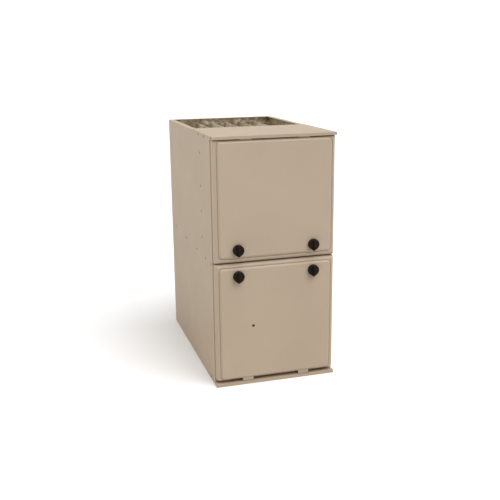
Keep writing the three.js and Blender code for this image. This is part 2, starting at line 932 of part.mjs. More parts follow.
// Circuit board on four posts, with relays, terminals, a fuse and its signal lamp.
function controlBoard() {
  const { x, z, width, height } = controlsBoard;
  const y = controls.y;
  const back = y - controlsBoard.post;
  const front = back - controlsBoard.thick;
  const board = prismY(roundedRect(x - width / 2, x + width / 2, z - height / 2, z + height / 2, 4),
    front, back, 2);
  const posts = [];
  for (const sx of [-1, 1]) {
    for (const sz of [-1, 1]) {
      posts.push(rodY(3, back - 0.5, y - gap, x + sx * (width / 2 - 7), z + sz * (height / 2 - 7), 6));
    }
  }
  const part = (dx, dz, w, h, d) => block(x + dx, x + dx + w, front - d, front + 0.5, z + dz, z + dz + h);
  const relays = [-62, -38, -14].map((dx) => part(dx, 22, 19, 26, 15));
  const terminals = [0, 1, 2, 3, 4].map((i) => part(18 + i * 10, -48, 8, 14, 9));
  const lamp = rodY(3, front - 6, front + 0.5, sightPort.x, sightPort.z, 10);
  return join(board, ...posts, ...relays, ...terminals, part(-60, -46, 52, 10, 7),
    part(20, 18, 24, 20, 4), part(52, 8, 12, 34, 11), lamp);
}

// Laminated core with a bobbin round its middle limb and two feet.
function transformerPiece() {
  const { x, z } = controlsTransformer;
  const y = controls.y - gap;
  const core = block(x - 28, x + 28, y - 20, y - 2, z - 23, z + 23);
  const feet = block(x - 36, x + 36, y - 2.5, y, z - 23, z - 7);
  const bobbin = prismY(roundedRect(x - 17, x + 17, z - 15, z + 15, 4), y - 34, y - 1, 3);
  return join(core, feet, bobbin);
}

function doorSwitchBody() {
  const { x, travel } = doorSwitch;
  const z = doorSwitchZ;
  const y = controls.y - gap;
  const front = y - doorSwitch.depth;
  const body = prismY(roundedRect(x - 10, x + 10, z - 15, z + 15, 2), front, y, 2);
  const collar = rodY(doorSwitch.plunger + 3, front - 3, front + 1, x, z, 16);
  const bore = rodY(doorSwitch.plunger + gap, front - 4, front + doorSwitch.engaged + travel + 2, x, z, 16);
  return cut(join(body, collar), bore);
}

// Runs from just inside the lower door's skin into the switch.
function doorSwitchPlunger() {
  const { x } = doorSwitch;
  const z = doorSwitchZ;
  const front = controls.y - gap - doorSwitch.depth;
  const tip = faceY + skin + gap;
  const stem = rodY(doorSwitch.plunger, tip + 1.5, front + doorSwitch.engaged, x, z, 16);
  const cap = rodY(doorSwitch.plunger + 1.5, tip, tip + 3, x, z, 16);
  return join(stem, cap);
}

// ---------------------------------------------------------------- heat exchanger

// Serpentine clamshell: two pressed halves whose bulges are the passes, closed at a flat
// seam. Webs part the passes except where the gas turns back, and every second station
// along a pass is pinched, which makes the dimples.
function heatCell() {
  const { stations, rows, passes } = cells;
  const perPass = rows / passes;
  const turn = 2; // stations left open at each turn
  const bulge = (i, j) => {
    if (i === 0 || j === 0 || i === stations || j === rows) return 0;
    if (j % perPass === 0) {
      const web = j / perPass;
      const turnsAtRear = (passes - web) % 2 === 1;
      const open = turnsAtRear ? i > stations - turn - 1 : i < turn + 1;
      return open ? cells.turnBulge : 0;
    }
    const pinch = i % 2 === 0 ? 1 : cells.pinch;
    return pinch * Math.sin((Math.PI * (j % perPass)) / perPass);
  };
  const positions = [];
  for (const side of [-1, 1]) {
    for (let i = 0; i <= stations; i += 1) {
      for (let j = 0; j <= rows; j += 1) {
        const x = side * (cells.webHalf + (cells.halfThick - cells.webHalf) * bulge(i, j));
        const z = cells.bottom + ((cells.top - cells.bottom) * j) / rows;
        positions.push(x, (cells.length * i) / stations, z);
      }
    }
  }
  const row = rows + 1;
  const half = row * (stations + 1);
  const index = [];
  const quad = (a, b, c, d) => index.push(a, b, c, a, c, d);
  for (let i = 0; i < stations; i += 1) {
    for (let j = 0; j < rows; j += 1) {
      const a = i * row + j;
      quad(a + row, a, a + 1, a + row + 1);
      quad(half + a, half + a + row, half + a + row + 1, half + a + 1);
    }
    const top = i * row + rows;
    quad(i * row, (i + 1) * row, half + (i + 1) * row, half + i * row);
    quad(top + row, top, half + top, half + top + row);
  }
  for (let j = 0; j < rows; j += 1) {
    const end = stations * row + j;
    quad(j + 1, j, half + j, half + j + 1);
    quad(end, end + 1, half + end + 1, half + end);
  }
  const shell = new THREE.BufferGeometry();
  shell.setAttribute('position', new THREE.Float32BufferAttribute(positions, 3));
  shell.setIndex(index);
  const neck = rodY(cells.inletRadius, -skin - gap, 40, 0, burnerZ, 14);
  const bore = rodY(cells.inletRadius - 2, -skin - gap - 1, cells.inletDepth, 0, burnerZ, 14);
  return cut(join(shell, neck), bore);
}

// Finned block of the condensing coil between its two tube sheets.
function secondaryCoil() {
  const low = coil.bottom;
  const high = coil.bottom + coil.height;
  const pitch = cells.length / coil.fins;
  const points = [];
  const walk = (z, inward, from, to, step) => {
    for (let i = from; i !== to; i += step) {
      const y0 = pitch * i + (step > 0 ? coil.finGap / 2 : pitch - coil.finGap / 2);
      const y1 = pitch * i + (step > 0 ? pitch - coil.finGap / 2 : coil.finGap / 2);
      points.push([y0, z + inward], [y0, z], [y1, z], [y1, z + inward]);
    }
  };
  walk(low + 4, coil.finDepth, 0, coil.fins, 1);
  walk(high - 4, -coil.finDepth, coil.fins - 1, -1, -1);
  const half = coil.width / 2;
  const fins = prismX(outline(points), -half + 6, half - 6);
  const inset = 3 + coil.finDepth;
  const core = block(-half + 6, half - 6, 1, cells.length - 1, low + inset, high - inset);
  const sheets = [0, cells.length - 3].map((y) => block(-half, half, y, y + 3, low, high));
  return join(fins, core, ...sheets);
}

// Box at the back that turns the gas from the cells down into the coil.
function couplingBox() {
  const half = coil.width / 2;
  const high = cells.bottom + passHeight;
  const box = prismY(roundedRect(-half, half, coil.bottom, high, 8), 0, header.couplingDepth, 3);
  const ribs = [-80, 0, 80].map((x) => {
    return block(x - 2, x + 2, header.couplingDepth - 1, header.couplingDepth + 3,
      coil.bottom + 12, high - 12);
  });
  return join(box, ...ribs);
}

// Plastic collector in front of the coil: a port to the inducer and two hose nipples.
function collectorBox() {
  const half = header.width / 2;
  const high = coil.bottom + coil.height;
  const rear = cellPanel.y - gap;
  const front = rear - header.depth;
  const box = prismY(roundedRect(-half, half, coil.bottom, high, 6), front, rear, 2);
  const ribs = [-138, -124, 64, 84, 104].map((x) => {
    return block(x - 1.5, x + 1.5, front - header.pad, front + 1, coil.bottom + 10, high - 10);
  });
  const drain = rodZ(header.nipple, coil.bottom - 14, coil.bottom + 1, header.drainX, header.nippleY, 16);
  const tap = rodZ(header.tap, high - 1, high + 12, header.tapX, header.nippleY, 12);
  const pad = rodY(inducer.eye + 16, front - header.pad, front + 1, inducer.x, inducer.z, 20);
  const port = rodY(inducer.eye, front - header.pad - 1, front + 14, inducer.x, inducer.z);
  return cut(join(box, ...ribs, drain, tap, pad), port);
}

// ---------------------------------------------------------------- burners and gas train

// In-shot burner: bell mouth, throat and flame tube, on a foot. Its mouth is at y = 0.
function burnerPiece() {
  const { mouth, throat, bell, length, wall } = burner;
  const outside = [[mouth, 0], [throat, 22], [throat, 36], [bell, 64], [bell, length]];
  const inside = outside.map(([r, y]) => [r - wall, y]).reverse();
  const venturi = turned([...outside, ...inside, outside[0]], 10);
  const foot = block(-6, 6, 27, 35, -burnerBox.height / 2 + skin + gap, -throat + 0.5);
  return join(venturi, foot);
}

// Sheet box round the burners, open to the cells, with a round window at each burner.
function burnerBoxShell() {
  const half = burnerBox.width / 2;
  const low = burnerZ - burnerBox.height / 2;
  const high = burnerZ + burnerBox.height / 2;
  const rear = cellPanel.y - gap;
  const front = rear - burnerBox.depth;
  const box = block(-half, half, front, rear, low, high);
  const lap = 9;
  const flange = block(-half - lap, half + lap, rear - skin, rear, low - lap, high + lap);
  const hollow = block(-half + skin, half - skin, front + skin, rear + 1, low + skin, high - skin);
  const windows = cellX.map((x) => rodY(burner.mouth + 3, front - 1, front + skin + 1, x, burnerZ, 14));
  const slots = cellX.map((x) => block(x - 16, x + 16, front + 40, front + 48, low - 1, low + skin + 1));
  const igniterHole = rodX(igniter.body + gap, -half - 1, -half + skin + 1, igniter.y, burnerZ, 16);
  const sensorHole = rodX(sensor.body + gap, half - skin - 1, half + 1, igniter.y, burnerZ, 16);
  return cut(join(box, flange), hollow, ...windows, ...slots, igniterHole, sensorHole);
}

// Supply pipe across the burners, turned down to the valve, with a spud for each burner
// and two ears that fix it to the burner box.
function gasManifold() {
  const y = manifoldY;
  const endX = cellX[0] - 16;
  const bendX = valveX;
  const bend = 22;
  const elbow = new THREE.QuadraticBezierCurve3(
    new THREE.Vector3(bendX - bend, y, burnerZ),
    new THREE.Vector3(bendX, y, burnerZ),
    new THREE.Vector3(bendX, y, burnerZ - bend),
  );
  const run = rodX(manifold.radius, endX, bendX - bend + 1, y, burnerZ, 12);
  const drop = rodZ(manifold.radius, valveTop + gasValve.neck + gap, burnerZ - bend + 1, bendX, y, 12);
  const pipe = join(run, swept(elbow, manifold.radius, 6, 12), drop);
  const cap = rodX(manifold.radius + 2, endX - 6, endX + 8, y, burnerZ, 6);
  const tip = burnerFront - manifold.clear;
  const spuds = cellX.map((x) => rodY(manifold.spud, y, tip, x, burnerZ, 6));
  const boxFront = cellPanel.y - gap - burnerBox.depth;
  const ears = [-90, 90].map((x) => {
    return block(x - 8, x + 8, y + manifold.radius - 4, boxFront - gap, burnerZ - 3, burnerZ + 3);
  });
  return join(pipe, cap, ...spuds, ...ears);
}

// Valve body with its inlet to the right, outlet up, regulator turret and lever seat.
function gasValveBody() {
  const { width, depth, height, boss, bossLength, neck } = gasValve;
  const x0 = valveX - width / 2;
  const x1 = valveX + width / 2;
  const y0 = valveY - depth / 2;
  const y1 = valveY + depth / 2;
  const low = valveTop - height;
  const body = prismY(roundedRect(x0, x1, low, valveTop - 8, 5), y0 + 8, y1, 2);
  const cover = prismY(roundedRect(x0 + 6, x1 - 6, low + 6, valveTop - 16, 4), y0, y1 - 10, 2);
  const outlet = rodZ(boss, valveTop - 10, valveTop + neck, valveX, valveY, 8);
  const inlet = rodX(boss + 1, x1 - 2, x1 + bossLength, valveY, valveZ, 6);
  const turret = rodY(9, y0 - 9, y0 + 1, x1 - 22, low + 42, 14);
  const seat = rodY(gasValve.seat, y0 - 2, y0 + 1, leverX, leverZ, 14);
  const coilCase = prismY(roundedRect(x0 + 12, x0 + 44, valveTop - 20, valveTop + 4, 4), y0 + 14, y1 - 8, 3);
  const inletBore = rodX(10.5, x1 + bossLength - 14, x1 + bossLength + 1, valveY, valveZ, 16);
  return cut(join(body, cover, outlet, inlet, turret, seat, coilCase), inletBore);
}

// Lever on its hub; it turns about the hub's axis. Its origin is on that axis.
function gasValveLever() {
  const hub = rodY(8, -7, 0, 0, 0, 14);
  const arm = prismY(roundedRect(-3, 3, -2, 19, 2.4), -6, -1.5, 3);
  return join(hub, arm);
}

// Ceramic holder through the box wall with a hot surface element before the first cell.
function igniterPiece() {
  const wall = -burnerBox.width / 2;
  const plate = block(wall - 2.5 - gap, wall - gap, igniter.y - 9, igniter.y + 9, burnerZ - 14, burnerZ + 14);
  const holder = rodX(igniter.body, wall - 14, wall + 9, igniter.y, burnerZ, 16);
  const element = prismY(outline([
    [wall + 8, burnerZ - 4], [wall + 24, burnerZ - 7], [wall + 28, burnerZ], [wall + 24, burnerZ + 7],
    [wall + 8, burnerZ + 4],
  ]), igniter.y - 1.5, igniter.y + 1.5);
  return join(plate, holder, element);
}

function flameSensor() {
  const wall = burnerBox.width / 2;
  const plate = block(wall + gap, wall + 2 + gap, igniter.y - 7, igniter.y + 7, burnerZ - 12, burnerZ + 12);
  const holder = rodX(sensor.body, wall - 10, wall + 12, igniter.y, burnerZ, 12);
  const rod = rodX(sensor.rod, wall - 36, wall - 9, igniter.y, burnerZ, 8);
  const blade = block(wall + 11, wall + 18, igniter.y - 3, igniter.y + 3, burnerZ - 0.6, burnerZ + 0.6);
  return join(plate, holder, rod, blade);
}

// Disc thermostat with a bore for its reset button. Its base is at z = 0.
function rolloutSwitch() {
  const plate = prismZ(roundedRect(-15, 15, -7, 7, 3), 0, 1, 1);
  const disc = rodZ(8.5, 0.5, 6, 0, 0, 12);
  const collar = rodZ(4, 5, rollout.height, 0, 0, 8);
  const tabs = [-1, 1].map((side) => block(side * 6.5 - 1, side * 6.5 + 1, -3, 3, 5, 8.4));
  const bore = rodZ(rollout.button + gap, rollout.seat, rollout.height + 1, 0, 0, 8);
  return cut(join(plate, disc, collar, ...tabs), bore);
}

function rolloutButton() {
  return rodZ(rollout.button, rollout.seat + rollout.travel + gap, rollout.height + rollout.travel, 0, 0, 8);
}

// High limit: a disc thermostat on a plate, on the cell panel.
function limitSwitch() {
  const rear = cellPanel.y - gap;
  const { x, z } = limit;
  const plate = prismY(roundedRect(x - 24, x + 24, z - 14, z + 14, 3), rear - 1.5, rear, 2);
  const disc = rodY(11, rear - 13, rear - 1, x, z, 20);
  const blades = [-6, 6].map((dx) => block(x + dx - 0.5, x + dx + 0.5, rear - 20, rear - 12, z - 3, z + 3));
  return join(plate, disc, ...blades);
}

// ---------------------------------------------------------------- inducer, about its shaft

// Volute in (x, z), turning clockwise from the cutoff round to the outlet at the top right.
function voluteOutline(offset, end) {
  const steps = 12;
  const turn = inducer.cutoff + 1.5 * Math.PI;
  const points = [];
  for (let i = 0; i <= steps; i += 1) {
    const share = i / steps;
    const angle = inducer.cutoff - share * turn;
    const r = inducer.start + (inducer.volute - inducer.start) * share + offset;
    points.push([r * Math.cos(angle), r * Math.sin(angle)]);
  }
  const throat = (inducer.start + offset) * Math.sin(inducer.cutoff);
  points.push([end, inducer.volute + offset], [end, throat]);
  return outline(points);
}

function inducerHousing() {
  const { depth, wall, duct } = inducer;
  const outer = prismY(voluteOutline(wall, duct), -depth, 0);
  const hollow = prismY(voluteOutline(0, duct - wall), -depth + wall, -wall);
  const collar = rodX(inducer.outlet, duct - 1, duct + inducer.collar, -depth / 2, ductZ);
  const bore = rodX(inducer.outlet - 3, duct - wall - 1, duct + inducer.collar + 1, -depth / 2, ductZ);
  const eye = rodY(inducer.eye, -wall - 1, 1, 0, 0);
  const shaftHole = rodY(inducer.shaft + 1.5, -depth - 1, -depth + wall + 1, 0, 0, 16);
  const ring = rodY(inducer.volute - 24, -depth - 2, -depth + 1, 0, 0, 18);
  return cut(join(outer, collar, ring), hollow, bore, eye, shaftHole,
    rodY(inducer.shaft + 1.5, -depth - 3, -depth, 0, 0, 16));
}

// Back plate with straight radial blades, a hub, and the shaft that runs out to the fan.
function inducerWheel() {
  const { depth, wall, wheel, wheelWidth, shaft } = inducer;
  const y0 = -depth + wall + 2;
  const plate = rodY(wheel, y0, y0 + 1.6, 0, 0, 24);
  const hub = rodY(9, y0, y0 + wheelWidth - 4, 0, 0, 12);
  const rod = rodY(shaft, -inducer.reach, y0 + 2, 0, 0, 12);
  const blades = [];
  for (let i = 0; i < inducer.blades; i += 1) {
    const blade = block(8, wheel - 1, y0 + 1, y0 + wheelWidth, -0.8, 0.8);
    blades.push(blade.rotateY((2 * Math.PI * i) / inducer.blades));
  }
  return join(plate, hub, rod, ...blades);
}

// Shaded-pole motor: laminated core on four legs, its coil below, a bridge at each side.
function inducerMotor() {
  const { depth, core, leg, shaft } = inducer;
  const rear = -depth - 2 - gap;
  const y1 = rear - leg;
  const y0 = y1 - core;
  const stack = prismY(roundedRect(-32, 32, -38, 26, 5), y0, y1, 2);
  const winding = rodX(15, -17, 17, (y0 + y1) / 2, -34, 14);
  const legs = [];
  for (const x of [-25, 25]) {
    for (const z of [-24, 19]) {
      legs.push(rodY(3, y1 - 1, rear, x, z, 6));
      legs.push(rodY(3, y0 - 9, y0 + 1, x, z, 6));
    }
  }
  const bridge = prismY(roundedRect(-30, 30, -7, 7, 4), y0 - 11, y0 - 8, 2);
  const struts = [-25, 25].map((x) => block(x - 4, x + 4, y0 - 11, y0 - 8, -27, 22));
  const bearing = rodY(8, y0 - 13, y0 + 1, 0, 0, 12);
  const bore = rodY(shaft + gap, y0 - 20, y1 + 10, 0, 0, 12);
  return cut(join(stack, winding, bridge, bearing, ...legs, ...struts), bore);
}

// Cooling fan on the front end of the inducer's shaft, its blades set at a pitch.
function inducerFan() {
  const y0 = -inducer.reach + 2;
  const y1 = y0 + inducer.fanWidth;
  const hub = rodY(8, y0, y1, 0, 0, 12);
  const blades = [];
  const count = 6;
  for (let i = 0; i < count; i += 1) {
    const blade = block(6, inducer.fan, -1 - inducer.fanWidth / 2, 1 + inducer.fanWidth / 2, -0.7, 0.7);
    blade.rotateX(inducer.fanPitch).translate(0, (y0 + y1) / 2, 0);
    blades.push(blade.rotateY((2 * Math.PI * i) / count));
  }
  return cut(join(hub, ...blades), rodY(inducer.shaft + gap, y0 - 1, y1 + 1, 0, 0, 12));
}

// Rubber sleeve over the inducer's collar and the vent pipe, with a bead at each end.
function ventCoupling() {
  const inner = inducer.outlet + gap;
  const outer = inner + vent.rubber;
  const x0 = inducer.duct + 2;
  const x1 = x0 + vent.sleeve;
  const bead = 3;
  const profile = [
    [inner, x0], [outer + 1, x0], [outer + 1, x0 + bead], [outer, x0 + bead],
    [outer, x1 - bead], [outer + 1, x1 - bead], [outer + 1, x1], [inner, x1], [inner, x0],
  ];
  return turned(profile, 18).rotateZ(-Math.PI / 2).translate(0, -inducer.depth / 2, ductZ);
}

function ventPipe() {
  const x0 = inducer.duct + inducer.collar + gap;
  const x1 = halfWidth - 1 - inducer.x;
  const outer = inducer.outlet;
  const inner = inducer.outlet - vent.wall;
  const profile = [[inner, x0], [outer, x0], [outer, x1], [inner, x1], [inner, x0]];
  return turned(profile, 18).rotateZ(-Math.PI / 2).translate(0, -inducer.depth / 2, ductZ);
}

// ---------------------------------------------------------------- safety and drain pieces

// Diaphragm switch: two dished halves clamped at a rim, on a plate, with a front nipple.
function pressureSwitch() {
  const rear = cellPanel.y - gap;
  const { x, z, radius } = pressure;
  const plate = prismY(roundedRect(x - 20, x + 20, z - radius - 10, z + radius + 10, 4), rear - 1.5, rear, 2);
  const profile = [
    [0, 0], [radius - 9, 0], [radius - 5, 7], [radius, 8], [radius, 13], [radius - 5, 14],
    [radius - 10, pressure.depth], [0, pressure.depth],
  ];
  const drum = turned(profile, 16).rotateX(Math.PI).translate(x, rear - 1, z);
  const front = rear - 1 - pressure.depth;
  const nipple = rodY(header.tap, front - pressure.nipple, front + 1, x, z, 12);
  const blades = [-8, 8].map((dx) => block(x + dx - 3, x + dx + 3, front - 8, front + 1, z + 11, z + 12));
  return join(plate, drum, nipple, ...blades);
}

// Runs from the switch's nipple down to the tap on the collector.
function pressureTube() {
  const { x, z } = pressure;
  const start = cellPanel.y - gap - 1 - pressure.depth - pressure.nipple - gap;
  const end = coil.bottom + coil.height + 12 + gap;
  const points = [
    [x, start, z], [x, start - 6, z], [x - 6, start - 18, z - 12], [x - 16, start - 16, z - 38],
    [header.tapX + 2, start + 8, end + 44], [header.tapX, header.nippleY - 3, end + 20],
    [header.tapX, header.nippleY, end + 7], [header.tapX, header.nippleY, end],
  ];
  return tube(points, header.tap, 18, 6);
}

// Trap against the right wall: two bowls, a hose nipple and the drain boss.
function condensateTrap() {
  const { width, depth, height, low, drainZ, inletZ } = trap;
  const x1 = insideX;
  const x0 = x1 - width;
  const y0 = trapY - depth / 2;
  const y1 = trapY + depth / 2;
  const high = low + height;
  const body = prismZ(roundedRect(x0, x1, y0, y1, 7), low + 8, high, 2);
  const bowls = [y0 + 16, y1 - 16].map((y) => rodZ(12, low, low + 9, (x0 + x1) / 2, y, 14));
  const lid = prismZ(roundedRect(x0 - 2, x1, y0 - 2, y1 + 2, 7), high - 3, high, 2);
  const nipple = rodX(header.nipple, x0 - 10, x0 + 1, trapY, inletZ, 10);
  const boss = rodX(trap.boss, x1 - 2, halfWidth - 1, trapY, drainZ, 14);
  return join(body, lid, nipple, boss, ...bowls);
}

// Runs from the collector's drain nipple to the trap.
function drainHose() {
  const y = header.nippleY;
  const startZ = coil.bottom - 14 - gap;
  const x1 = insideX - trap.width - 10 - gap;
  const x0 = header.drainX;
  const z1 = trap.inletZ;
  const points = [
    [x0, y, startZ], [x0, y, startZ - 5], [x0 + 2, y - 13, z1 - 12], [x0 + 10, trapY + 22, z1 - 5],
    [x1 - 12, trapY + 2, z1], [x1 - 5, trapY, z1], [x1, trapY, z1],
  ];
  return tube(points, header.nipple, 14, 8);
}

// Wiring box on the left wall, its cover lapping the front.
function junctionBox() {
  const { width, depth, height, low, y } = wiring;
  const x0 = -insideX;
  const x1 = x0 + width;
  const box = prismY(roundedRect(x0, x1, low, low + height, 2), y - depth, y, 2);
  const cover = prismY(roundedRect(x0 + 1, x1 + 2, low - 2, low + height + 2, 3), y - depth - 1.5, y - depth + 6, 2);
  const bushing = rodZ(9, low - 7, low + 1, (x0 + x1) / 2, y - depth / 2, 16);
  const ear = block(x1 - 1, x1 + 14, y - 2, y, low + 10, low + height - 10);
  return join(box, cover, bushing, ear);
}

// ---------------------------------------------------------------- assembly

const furnace = new THREE.Group();

function placed(parts, x = 0, y = 0, z = 0) {
  const group = new THREE.Group();
  group.position.set(x, y, z);
  group.add(...parts);
  furnace.add(group);
  return group;
}

placed([
  piece('casing_shell', casingShell(), finishes.enamel),
  piece('top_panel', topPanelSheet(), finishes.enamel),
  piece('base_rail', baseRailChannel(), finishes.enamel),
  piece('blower_shelf', blowerShelf(), finishes.galvanised),
  piece('latch_rail', latchRailChannel(), finishes.galvanised),
  piece('cell_panel', cellPanelSheet(), finishes.galvanised),
  piece('liner', linerWrap(), finishes.foil),
]);

cellX.forEach((x, i) => {
  placed([piece(`heat_cell_${i + 1}`, heatCell(), finishes.aluminised)], x, panelBackY + gap, 0);
});
placed([piece('secondary_coil', secondaryCoil(), finishes.stainless)], 0, panelBackY + gap, 0);
placed([piece('coupling_box', couplingBox(), finishes.aluminised)],
  0, panelBackY + gap + cells.length + gap, 0);
placed([piece('collector_box', collectorBox(), finishes.blackPlastic)]);

placed([
  piece('burner_box', burnerBoxShell(), finishes.aluminised),
  piece('gas_manifold', gasManifold(), finishes.blackPipe),
  piece('gas_valve', gasValveBody(), finishes.castAluminium),
  piece('igniter', igniterPiece(), finishes.ceramic),
  piece('flame_sensor', flameSensor(), finishes.ceramic),
  piece('limit_switch', limitSwitch(), finishes.blackPlastic),
]);
cellX.forEach((x, i) => {
  placed([piece(`burner_${i + 1}`, burnerPiece(), finishes.aluminised)], x, burnerFront, burnerZ);
});
placed([piece('gas_valve_lever', gasValveLever(), finishes.redPlastic)],
  leverX, valveY - gasValve.depth / 2 - 2 - gap, leverZ);
[['left', -1], ['right', 1]].forEach(([sideName, side]) => {
  placed([
    piece(`rollout_switch_${sideName}`, rolloutSwitch(), finishes.blackPlastic),
    piece(`rollout_button_${sideName}`, rolloutButton(), finishes.redPlastic),
  ], side * rollout.spread, rollout.y, burnerZ + burnerBox.height / 2 + gap);
});

const inducerY = cellPanel.y - gap - header.depth - header.pad - gap;
placed([
  piece('inducer_housing', inducerHousing(), finishes.blackPlastic),
  piece('inducer_wheel', inducerWheel(), finishes.stainless),
  piece('inducer_motor', inducerMotor(), finishes.galvanised),
  piece('inducer_fan', inducerFan(), finishes.blackPlastic),
  piece('vent_coupling', ventCoupling(), finishes.rubber),
  piece('vent_pipe', ventPipe(), finishes.greyPlastic),
], inducer.x, inducerY, inducer.z);

placed([
  piece('pressure_switch', pressureSwitch(), finishes.galvanised),
  piece('pressure_tube', pressureTube(), finishes.clearTube),
  piece('condensate_trap', condensateTrap(), finishes.greyPlastic),
  piece('drain_hose', drainHose(), finishes.rubber),
  piece('junction_box', junctionBox(), finishes.galvanised),
]);

placed([
  piece('blower_housing', blowerHousing(), finishes.galvanised),
  piece('blower_wheel', blowerWheel(), finishes.galvanised),
  piece('blower_shaft', blowerShaft(), finishes.stainless),
  piece('blower_motor', blowerMotorBody(), finishes.blackPaint),
  piece('motor_mount', motorMount(), finishes.galvanised),
], 0, blower.y, blower.z);
placed([piece('run_capacitor', runCapacitor(), finishes.aluminised)],
  -blower.width / 2 - 16 - gap, blower.y + blower.inlet + 46, blower.z + 40);

placed([
  piece('control_bracket', controlBracket(), finishes.galvanised),
  piece('control_board', controlBoard(), finishes.board),
  piece('transformer', transformerPiece(), finishes.blackPaint),
  piece('door_switch', doorSwitchBody(), finishes.blackPlastic),
  piece('door_switch_plunger', doorSwitchPlunger(), finishes.redPlastic),
]);

placed([
  piece('upper_door', upperDoorPan(), finishes.doorEnamel),
  piece('door_blanket', doorBlanket(), finishes.insulation),
  piece('lower_door', lowerDoorPan(), finishes.doorEnamel),
]);
for (const [rowName, z] of [['upper', upperKnobZ], ['lower', lowerKnobZ]]) {
  for (const [sideName, side] of [['left', -1], ['right', 1]]) {
    placed([piece(`${rowName}_knob_${sideName}`, knobPiece(), finishes.blackPlastic)],
      side * knob.spread, faceY, z);
  }
}

// Plan centre of the whole outline, knobs included, over the origin.
furnace.position.y = (gap + knob.thickness + knob.gripHeight) / 2;

export default furnace;
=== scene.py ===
"""Upflow forced air gas furnace with satin enamelled doors and casing.

Adds finishes, fasteners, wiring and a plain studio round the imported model.
"""

import math

import bmesh
import bpy
from mathutils import Matrix, Vector


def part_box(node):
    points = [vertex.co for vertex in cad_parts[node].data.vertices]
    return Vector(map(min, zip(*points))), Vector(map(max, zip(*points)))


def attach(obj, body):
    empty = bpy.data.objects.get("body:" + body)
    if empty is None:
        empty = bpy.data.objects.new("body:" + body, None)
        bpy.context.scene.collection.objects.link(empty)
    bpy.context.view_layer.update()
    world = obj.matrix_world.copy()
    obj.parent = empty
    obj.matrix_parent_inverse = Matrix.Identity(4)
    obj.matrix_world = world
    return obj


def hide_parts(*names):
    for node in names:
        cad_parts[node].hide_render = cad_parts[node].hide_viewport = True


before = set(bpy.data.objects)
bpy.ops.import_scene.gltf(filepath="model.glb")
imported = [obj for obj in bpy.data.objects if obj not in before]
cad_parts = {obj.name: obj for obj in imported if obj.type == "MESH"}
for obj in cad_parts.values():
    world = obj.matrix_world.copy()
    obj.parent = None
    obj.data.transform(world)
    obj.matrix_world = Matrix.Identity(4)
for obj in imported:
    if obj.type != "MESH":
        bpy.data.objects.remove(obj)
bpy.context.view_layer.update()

bl_info = {
    "name": "Forced Air Gas Furnace",
    "version": (1, 0, 0),
    "blender": (4, 5, 0),
    "location": "View3D > Sidebar > Furnace",
    "description": "Finishes, fasteners and wiring for an upflow gas furnace",
    "category": "Object",
}

MM = 0.001


# ---------------------------------------------------------------- colour and node helpers


def linear(colour):
    """The linear RGBA of an sRGB hex value; a colour property is linear already."""
    if not isinstance(colour, str):
        return tuple(colour)
    parts = [int(colour[i : i + 2], 16) / 255 for i in (0, 2, 4)]
    return (
        *(p / 12.92 if p <= 0.04045 else ((p + 0.055) / 1.055) ** 2.4 for p in parts),
        1.0,
    )


def per(size_mm):
    """Pattern scale whose repeats are size_mm apart."""
    return 1.0 / (size_mm * MM)


def add(tree, kind, values=None, links=None, **settings):
    """Adds one node with its settings, its socket values and the sockets that feed it."""
    made = tree.nodes.new(kind)
    for key, value in settings.items():
        setattr(made, key, value)
    for key, value in (values or {}).items():
        made.inputs[key].default_value = value
    for key, source in (links or {}).items():
        tree.links.new(source, made.inputs[key])
    return made


def new_material(name, **shader):
    """A material with its shader's constant values set; returns it, its tree and its shader."""
    made = bpy.data.materials.new(name)
    made.use_nodes = True
    tree = made.node_tree
    tree.nodes.clear()
    surface = add(tree, "ShaderNodeBsdfPrincipled")
    for key, value in shader.items():
        surface.inputs[key.replace("_", " ")].default_value = value
    add(tree, "ShaderNodeOutputMaterial", links={"Surface": surface.outputs[0]})
    return made, tree, surface


# A mottle of two colours, a spread of roughness and a fine grain, which all finishes share.
def mottled(
    name, colour, shade, patch_mm, grain_mm, depth_mm, rough, spread, even=0.5, **shader
):
    made, tree, surface = new_material(name, **shader)
    place = add(tree, "ShaderNodeTexCoord").outputs["Object"]
    patches = add(
        tree,
        "ShaderNodeTexNoise",
        {"Scale": per(patch_mm), "Detail": 4.0, "Roughness": 0.55},
        {"Vector": place},
    )
    amount = add(
        tree,
        "ShaderNodeMapRange",
        {"From Min": even - 0.2, "From Max": even + 0.2},
        {"Value": patches.outputs["Fac"]},
    )
    tint = add(
        tree,
        "ShaderNodeMix",
        {6: linear(colour), 7: linear(shade)},
        {0: amount.outputs[0]},
        data_type="RGBA",
    )
    tree.links.new(tint.outputs[2], surface.inputs["Base Color"])
    scuffs = add(
        tree,
        "ShaderNodeTexNoise",
        {"Scale": per(patch_mm * 0.35), "Detail": 6.0, "Roughness": 0.7},
        {"Vector": place},
    )
    gloss = add(
        tree,
        "ShaderNodeMapRange",
        {
            "From Min": 0.3,
            "From Max": 0.7,
            "To Min": rough - spread,
            "To Max": rough + spread,
        },
        {"Value": scuffs.outputs["Fac"]},
    )
    tree.links.new(gloss.outputs[0], surface.inputs["Roughness"])
    grain = add(
        tree,
        "ShaderNodeTexNoise",
        {"Scale": per(grain_mm), "Detail": 3.0},
        {"Vector": place},
    )
    relief = add(
        tree,
        "ShaderNodeBump",
        {"Strength": 1.0, "Distance": depth_mm * MM},
        {"Height": grain.outputs["Fac"]},
    )
    tree.links.new(relief.outputs[0], surface.inputs["Normal"])
    return made


# ---------------------------------------------------------------- finishes


